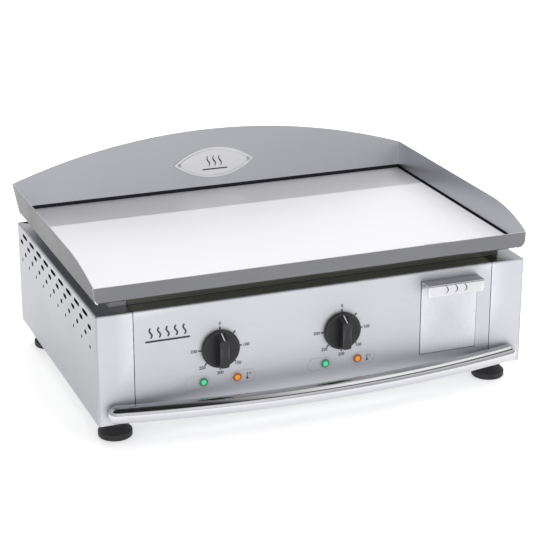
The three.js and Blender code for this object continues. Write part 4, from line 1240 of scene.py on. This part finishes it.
def dial(word):
    """Ticks every 45 degrees clockwise from the top, with their temperatures."""
    x, _, z = KNOBS[word]
    black = []
    for k, label in enumerate(("0", "", "100", "150", "200", "250", "300")):
        angle = math.radians(90 - 45 * k)
        c, s = math.cos(angle), math.sin(angle)
        black.append(stroke([(x + r * c, z + r * s) for r in (25.2, 29.4)], 1.9))
        if label:
            black.append(number(label, x + (33.8 + (1.2 if c and abs(c) > 0.9 else 0)) * c,
                                z + 33.4 * s, 5.9))
    return join(*black)


def thermometer(x, z):
    """Stem, bulb and a degree ring."""
    ring = [(x + 2.6 + 0.8 * math.cos(t), z + 3.2 + 0.8 * math.sin(t))
            for t in np.linspace(0, 2 * math.pi, 13)[:-1]]
    curl = [(x + 4.9 + 1.2 * math.cos(t), z + 2.2 + 1.5 * math.sin(t)) for t in np.linspace(0.8, 5.5, 12)]
    marks = [stroke([(x - 1.0, z + zz), (x - 0.2, z + zz)], 0.3) for zz in (0.5, 2.0, 3.5)]
    return join(stroke([(x, z - 2), (x, z + 4.4)], 0.9), dot(x, z - 3.2, 1.6), ring_stroke(ring, 0.35),
                stroke(curl, 0.45), *marks)


class GRIDDLE_OT_print(bpy.types.Operator):
    """Make the dials, the outlines round the lamps, the thermometer signs and the heat sign"""
    bl_idname = "griddle.print"
    bl_label = "Printed marks"

    def execute(self, context):
        for word, _ in SIDES:
            x = KNOBS[word][0]
            piece(f"dial_{word}", dial(word), "chassis", "print black", sharp=30)
            run, high = LAMP_OUTLINE
            green = ring_stroke(pill(x - LAMP_DX - run, x - LAMP_DX, LAMP_Z, high), 0.4)
            orange = ring_stroke(pill(x + LAMP_DX, x + LAMP_DX + run, LAMP_Z, high), 0.4)
            piece(f"lamp_outlines_{word}", join(green, orange), "chassis",
                  "print grey", sharp=30)
            piece(f"thermometer_{word}", thermometer(x + LAMP_DX + 13.8, LAMP_Z), "chassis",
                  "print black", sharp=30)
        x, z = HEAT_SIGN
        strokes = [stroke(np.stack([line[:, 0], line[:, 1] + z], -1), 2.3)
                   for line in heat_waves(x, 11.0, 13.5, 1.7, count=5)]
        strokes.append(stroke([(x - 29.0, z - 4.3), (x + 29.0, z - 4.3)], 2.6))
        piece("heat_sign", join(*strokes), "chassis", "print black", sharp=30)
        return {"FINISHED"}


# ---- grease drawer ---------------------------------------------------------------------------------

def round_box(x0, x1, z0, z1, r, shrink=0.0):
    """Corner-rounded rectangle drawn in by shrink; its corner radius shrinks too, down to a tenth."""
    a, b, c, d, r = x0 + shrink, x1 - shrink, z0 + shrink, z1 - shrink, max(r - shrink, 0.1)
    return rounded([(a, c, r), (b, c, r), (b, d, r), (a, d, r)], steps=6, closed=True)


def drawer():
    """Front: a slab with softened edges. Handle: one bent strip along X whose lip has rounded lower corners.
    Tray: rounded-rectangle rings down a wall, round a fillet and in to the middle."""
    low, high = DRAWER_LOW, DRAWER_HIGH
    steps = [(0.0, SHEET), (0.0, 0.45), (0.12, 0.15), (0.45, 0.0)]
    rings = [np.insert(round_box(low[0], high[0], low[2], high[2], 1.2, e), 1, y, axis=1) for e, y in steps]
    middle = np.array([(low[0] + high[0]) / 2, 0, (low[2] + high[2]) / 2])
    back = np.broadcast_to(middle + (0, SHEET, 0), rings[0].shape)
    face = np.broadcast_to(middle, rings[0].shape)
    stack = np.stack([back] + rings + [face])
    surface = stack.reshape(-1, 3), quad_grid(len(stack), stack.shape[1], wrap=True)
    piece("drawer_face", surface, "grease_drawer", "brushed front", ["drawer_front"])

    low, high = HANDLE_LOW, HANDLE_HIGH
    h = SHEET / 2
    back_y, lip_y, top = high[1] - h, low[1] + h, high[2] - h
    line = rounded([(back_y, high[2] - 11), (back_y, top, 1.3), (lip_y, top, 2.0), (lip_y, low[2])])
    loop = strip_outline(line)
    r = 6.0
    near = r * (1 - np.cos(np.linspace(0, math.pi / 2, 11)))
    xs = np.concatenate([low[0] + near, [(low[0] + high[0]) / 2], (high[0] - near)[::-1]])
    rings = along_x(loop, xs)
    inset = np.clip((r - np.minimum(xs - low[0], high[0] - xs)) / r, 0, 1)
    floor = np.where(inset > 0, low[2] + r - np.sqrt(np.maximum(r * r - (inset * r) ** 2, 0)),
                     low[2] - 1)[:, None]
    lip = rings[..., 1] < lip_y + 3
    rings[..., 2] = np.where(lip, np.maximum(rings[..., 2], floor), rings[..., 2])
    piece("drawer_lip", swept(rings), "grease_drawer", "handle steel",
          ["drawer_handle"], sharp=40,
          # Upward faces of the handle take the darker copy: painted shade.
          more=[("handle top painted shade", lambda x, y, z, n: (n[2] > 0.7) & (y < -2))])
    marks = []
    for k in (-1, 0, 1):
        q = np.linspace(0, 1, 26)
        x = (low[0] + high[0]) / 2 + k * 13.5 - 1.6 + 3.3 * np.sin(math.pi * q ** 1.25)
        path = np.stack([x, np.full(26, low[1] + 0.05), high[2] - 2.0 - 10.6 * q], -1)
        marks.append(tube(path, 0.75 * np.sin(np.linspace(0.5, math.pi - 0.3, 26)), 10))
    piece("handle_grip_marks", join(*marks), "grease_drawer", "engraved ground")

    low, high = TRAY_LOW, TRAY_HIGH
    fillet = 5.0
    turn = np.linspace(0, math.pi / 2, 7)
    wall = [(-0.0, high[2]), (0.0, low[2] + fillet)] + [
        (fillet * (1 - math.cos(a)), low[2] + fillet * (1 - math.sin(a))) for a in turn[1:]]
    rings = [np.concatenate([round_box(low[0], high[0], low[1], high[1], 7.0, e), np.full((28, 1), z)], 1)
             for e, z in wall]
    bottom = np.broadcast_to([(low[0] + high[0]) / 2, (low[1] + high[1]) / 2, low[2]], rings[0].shape)
    stack = np.stack(rings + [bottom])
    tray = stack.reshape(-1, 3), quad_grid(len(stack), stack.shape[1], wrap=True)
    inside = (low + high) / 2
    piece("drawer_pan", shell(tray, 1.2, inside), "grease_drawer", "brushed side",
          ["drawer_tray"])


class GRIDDLE_OT_drawer(bpy.types.Operator):
    """Make the grease drawer's face, handle and tray"""
    bl_idname = "griddle.drawer"
    bl_label = "Grease drawer"

    def execute(self, context):
        drawer()
        return {"FINISHED"}


# ---- feet --------------------------------------------------------------------------------------------

def foot(place):
    """Pad: a turned rubber foot. Stud: a rod whose radius follows a rounded saw-tooth
    of angle and height, r = core + depth |saw(t / 2 pi - z / pitch)|."""
    sides = bpy.context.scene.griddle_sizes.round_sides
    low, high = corners(f"foot_pad_{place}")
    x, y = (low[:2] + high[:2]) / 2
    profile = rounded([(0, 0.6), (14, 0.6, 0.5), (15.5, 0, 0.5), (20.6, 0, 1.0), (22, 1.5, 0.8),
                       (22, 8.2, 1.4), (19.6, 10.4, 1.2), (14, 16.6, 1.6), (12.6, 22, 0.6), (6, 22, 0.3),
                       (5.3, 21.4, 0.2), (5.3, 12, 0.2), (0, 12)], 4)
    piece(f"foot_rubber_{place}", revolved(profile, sides, (x, y, 0)), f"foot_{place}",
          "foot rubber", [f"foot_pad_{place}"])
    low, high = corners(f"foot_stud_{place}")
    pitch = bpy.context.scene.griddle_sizes.thread_pitch / MM
    z = np.linspace(low[2], high[2], int((high[2] - low[2]) / pitch * 6))[:, None]
    t = np.linspace(0, 2 * math.pi, 24, endpoint=False)
    saw = np.abs(((t / (2 * math.pi) - z / pitch) % 1.0) * 2 - 1)
    r = 4.45 + 0.5 * np.clip(saw * 1.3 - 0.15, 0, 1)
    rings = np.stack([x + r * np.cos(t), y + r * np.sin(t), np.broadcast_to(z, r.shape)], -1)
    ends = [np.broadcast_to([x, y, v], (1, 24, 3)) for v in (low[2], high[2])]
    rings = np.concatenate([ends[0], rings, ends[1]])
    piece(f"foot_screw_{place}", (rings.reshape(-1, 3), quad_grid(len(rings), 24, wrap=True)),
          f"foot_{place}", "galvanised", [f"foot_stud_{place}"], sharp=60)


class GRIDDLE_OT_feet(bpy.types.Operator):
    """Make the four levelling feet"""
    bl_idname = "griddle.feet"
    bl_label = "Feet"

    def execute(self, context):
        for end in ("front", "rear"):
            for word, _ in SIDES:
                foot(f"{end}_{word}")
        return {"FINISHED"}


# ---- pieces that keep their CAD shape ------------------------------------------------------------------

NODE_FINISHES = {
    "base_plate": "galvanised", "heat_shield": "galvanised", "element_clamp": "galvanised",
    "drawer_guide": "galvanised", "foot_insert": "galvanised", "heat_spreader": "aluminium",
    "heat_reflector": "aluminium", "heating_element": "element sheath", "thermostat_bulb": "copper bulb",
    "thermostat_": "thermostat plastic", "insulation_blanket": "mineral wool", "knob_shaft": "polished steel and painted highlight",
    "power_lamp_body": "black nylon", "heat_lamp_body": "black nylon", "terminal_block": "ceramic",
    "gland_": "black nylon", "drain_chute": "brushed side",
}


class GRIDDLE_OT_inner(bpy.types.Operator):
    """Give the CAD pieces that stay their finishes"""
    bl_idname = "griddle.inner"
    bl_label = "Inner pieces"

    def execute(self, context):
        for name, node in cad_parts.items():
            found = [key for key in NODE_FINISHES if name.startswith(key)]
            key = max(found, key=len) if found else None
            finish = NODE_FINISHES[key] if key else "brushed front"
            node.data.materials.clear()
            node.data.materials.append(bpy.data.materials[finish])
        return {"FINISHED"}


# ---- stage -----------------------------------------------------------------------------------------------

def make_world(strength):
    """Soft room: bright above and behind, a dark gap high in front between the ceiling light and the
    wall, which is narrower on the right, and a dimmer left."""
    world = bpy.data.worlds.new("studio")
    world.use_nodes = True
    tree = world.node_tree
    background = tree.nodes["Background"]
    way = add_node(tree, "ShaderNodeTexCoord").outputs["Generated"]
    parts = add_node(tree, "ShaderNodeSeparateXYZ", {0: way})
    x, y, z = parts.outputs
    ramps = []
    for stops in (((0.0, 0.6), (0.5, 0.65), (0.57, 1.1), (0.66, 1.1), (0.78, 0.95), (0.81, 0.03),
                   (1.0, 0.03)),
                  ((0.0, 0.6), (0.5, 0.5), (0.57, 0.58), (0.66, 0.6), (0.78, 0.95), (0.8, 0.08), (0.85, 0.08),
                   (0.88, 1.3), (1.0, 1.3)),
                  ((0.0, 0.8), (0.5, 0.85), (0.64, 1.0), (0.93, 1.1), (0.955, 0.2), (1.0, 0.2))):
        height = add_node(tree, "ShaderNodeMapRange", {"Value": z, "From Min": -1.0, "From Max": 1.0})
        ramp = add_node(tree, "ShaderNodeValToRGB", {"Fac": height.outputs[0]})
        ramp.color_ramp.elements[0].position = stops[0][0]
        ramp.color_ramp.elements[0].color = (stops[0][1],) * 3 + (1,)
        ramp.color_ramp.elements[1].position = stops[-1][0]
        ramp.color_ramp.elements[1].color = (stops[-1][1],) * 3 + (1,)
        for position, value in stops[1:-1]:
            ramp.color_ramp.elements.new(position).color = (value,) * 3 + (1,)
        ramps.append(ramp.outputs[0])
    behind = add_node(tree, "ShaderNodeMapRange", {"Value": y, "From Min": -0.1, "From Max": 0.25})
    aside = add_node(tree, "ShaderNodeMapRange", {"Value": x, "From Min": 0.15, "From Max": 0.4})
    both = mix_colour(tree, behind.outputs[0], mix_colour(tree, aside.outputs[0], ramps[0], ramps[1]),
                      ramps[2])
    left = add_node(tree, "ShaderNodeMapRange",
                    {"Value": x, "From Min": -0.9, "From Max": 0.3, "To Min": 0.6, "To Max": 1.0})
    level = add_node(tree, "ShaderNodeVectorMath", {0: both, "Scale": left.outputs[0]}, operation="SCALE")
    tree.links.new(level.outputs[0], background.inputs["Color"])
    background.inputs["Strength"].default_value = strength
    bpy.context.scene.world = world


def area_light(name, place, aim, size, power):
    """A rectangular soft light at a place, aimed at a point. The metal does not mirror it."""
    data = bpy.data.lights.new(name, "AREA")
    data.shape = "RECTANGLE"
    data.size, data.size_y = size
    data.energy = power
    lamp_object = bpy.data.objects.new(name, data)
    lamp_object.location = place
    lamp_object.visible_glossy = False
    lamp_object.rotation_euler = (Vector(aim) - Vector(place)).to_track_quat("-Z", "Y").to_euler()
    bpy.context.scene.collection.objects.link(lamp_object)


class GRIDDLE_OT_stage(bpy.types.Operator):
    """Make the floor, the soft light and the camera"""
    bl_idname = "griddle.stage"
    bl_label = "Stage"

    def execute(self, context):
        stage = context.scene.griddle_stage
        tree, shader, place = start_material("pale floor", (0.9, 0.9, 0.9), Roughness=0.6)
        fleck = add_node(tree, "ShaderNodeTexNoise",
                         {"Vector": place, "Scale": 30.0, "Detail": 3.0}).outputs[0]
        tree.links.new(mix_colour(tree, fleck, (0.9, 0.9, 0.905), (0.94, 0.94, 0.94)),
                       shader.inputs["Base Color"])
        shader.inputs["Emission Color"].default_value = (1, 1, 1, 1)
        shader.inputs["Emission Strength"].default_value = 0.5
        mesh = bpy.data.meshes.new("floor")
        mesh.from_pydata([(-9, -9, 0), (9, -9, 0), (9, 9, 0), (-9, 9, 0)], [], [(0, 1, 2, 3)])
        mesh.materials.append(bpy.data.materials["pale floor"])
        floor = bpy.data.objects.new("floor", mesh)
        context.scene.collection.objects.link(floor)
        make_world(stage.room)
        area_light("key light", (0.9, -1.6, 2.4), (0, 0, 0.1), (1.8, 1.8), 20)
        area_light("top light", (0.0, 0.8, 2.6), (0, 0.1, 0.1), (2.6, 1.6), 29)
        a, e = stage.azimuth, stage.elevation
        back = Vector((math.sin(a) * math.cos(e), -math.cos(a) * math.cos(e), math.sin(e)))
        data = bpy.data.cameras.new("camera")
        data.lens = stage.lens
        data.sensor_width = 36.0
        camera = bpy.data.objects.new("camera", data)
        camera.location = (-0.818, -2.1002, 0.957)
        camera.rotation_euler = (-back).to_track_quat("-Z", "Y").to_euler()
        context.scene.collection.objects.link(camera)
        context.scene.camera = camera
        context.scene.view_settings.view_transform = "Standard"
        return {"FINISHED"}


# ---- panel and registration --------------------------------------------------------------------------------

OPERATORS = (GRIDDLE_OT_finishes, GRIDDLE_OT_body, GRIDDLE_OT_rail, GRIDDLE_OT_guards, GRIDDLE_OT_nameplate,
             GRIDDLE_OT_knobs, GRIDDLE_OT_lamps, GRIDDLE_OT_print, GRIDDLE_OT_drawer, GRIDDLE_OT_feet,
             GRIDDLE_OT_inner, GRIDDLE_OT_stage)


class GRIDDLE_PT_panel(bpy.types.Panel):
    """Sizes, colours and the operators in the order they are used"""
    bl_idname = "GRIDDLE_PT_panel"
    bl_label = "Countertop griddle"
    bl_space_type = "VIEW_3D"
    bl_region_type = "UI"
    bl_category = "Griddle"

    def draw(self, context):
        for group in (context.scene.griddle_sizes, context.scene.griddle_finishes,
                      context.scene.griddle_stage):
            box = self.layout.box()
            for name in group.__annotations__:
                box.prop(group, name)
        for operator in OPERATORS:
            self.layout.operator(operator.bl_idname)


CLASSES = (GriddleSizes, GriddleFinishes, GriddleStage, *OPERATORS, GRIDDLE_PT_panel)


def register():
    for cls in CLASSES:
        bpy.utils.register_class(cls)
    bpy.types.Scene.griddle_sizes = PointerProperty(type=GriddleSizes)
    bpy.types.Scene.griddle_finishes = PointerProperty(type=GriddleFinishes)
    bpy.types.Scene.griddle_stage = PointerProperty(type=GriddleStage)


def unregister():
    del bpy.types.Scene.griddle_stage
    del bpy.types.Scene.griddle_finishes
    del bpy.types.Scene.griddle_sizes
    for cls in reversed(CLASSES):
        bpy.utils.unregister_class(cls)


def main():
    register()
    bpy.ops.griddle.finishes()
    bpy.ops.griddle.stage()
    bpy.ops.griddle.body()
    bpy.ops.griddle.rail()
    bpy.ops.griddle.guards()
    bpy.ops.griddle.nameplate()
    bpy.ops.griddle.knobs()
    bpy.ops.griddle.lamps()
    bpy.ops.griddle.print()
    bpy.ops.griddle.drawer()
    bpy.ops.griddle.feet()
    bpy.ops.griddle.inner()
    bpy.context.view_layer.update()


if __name__ == "__main__":
    main()
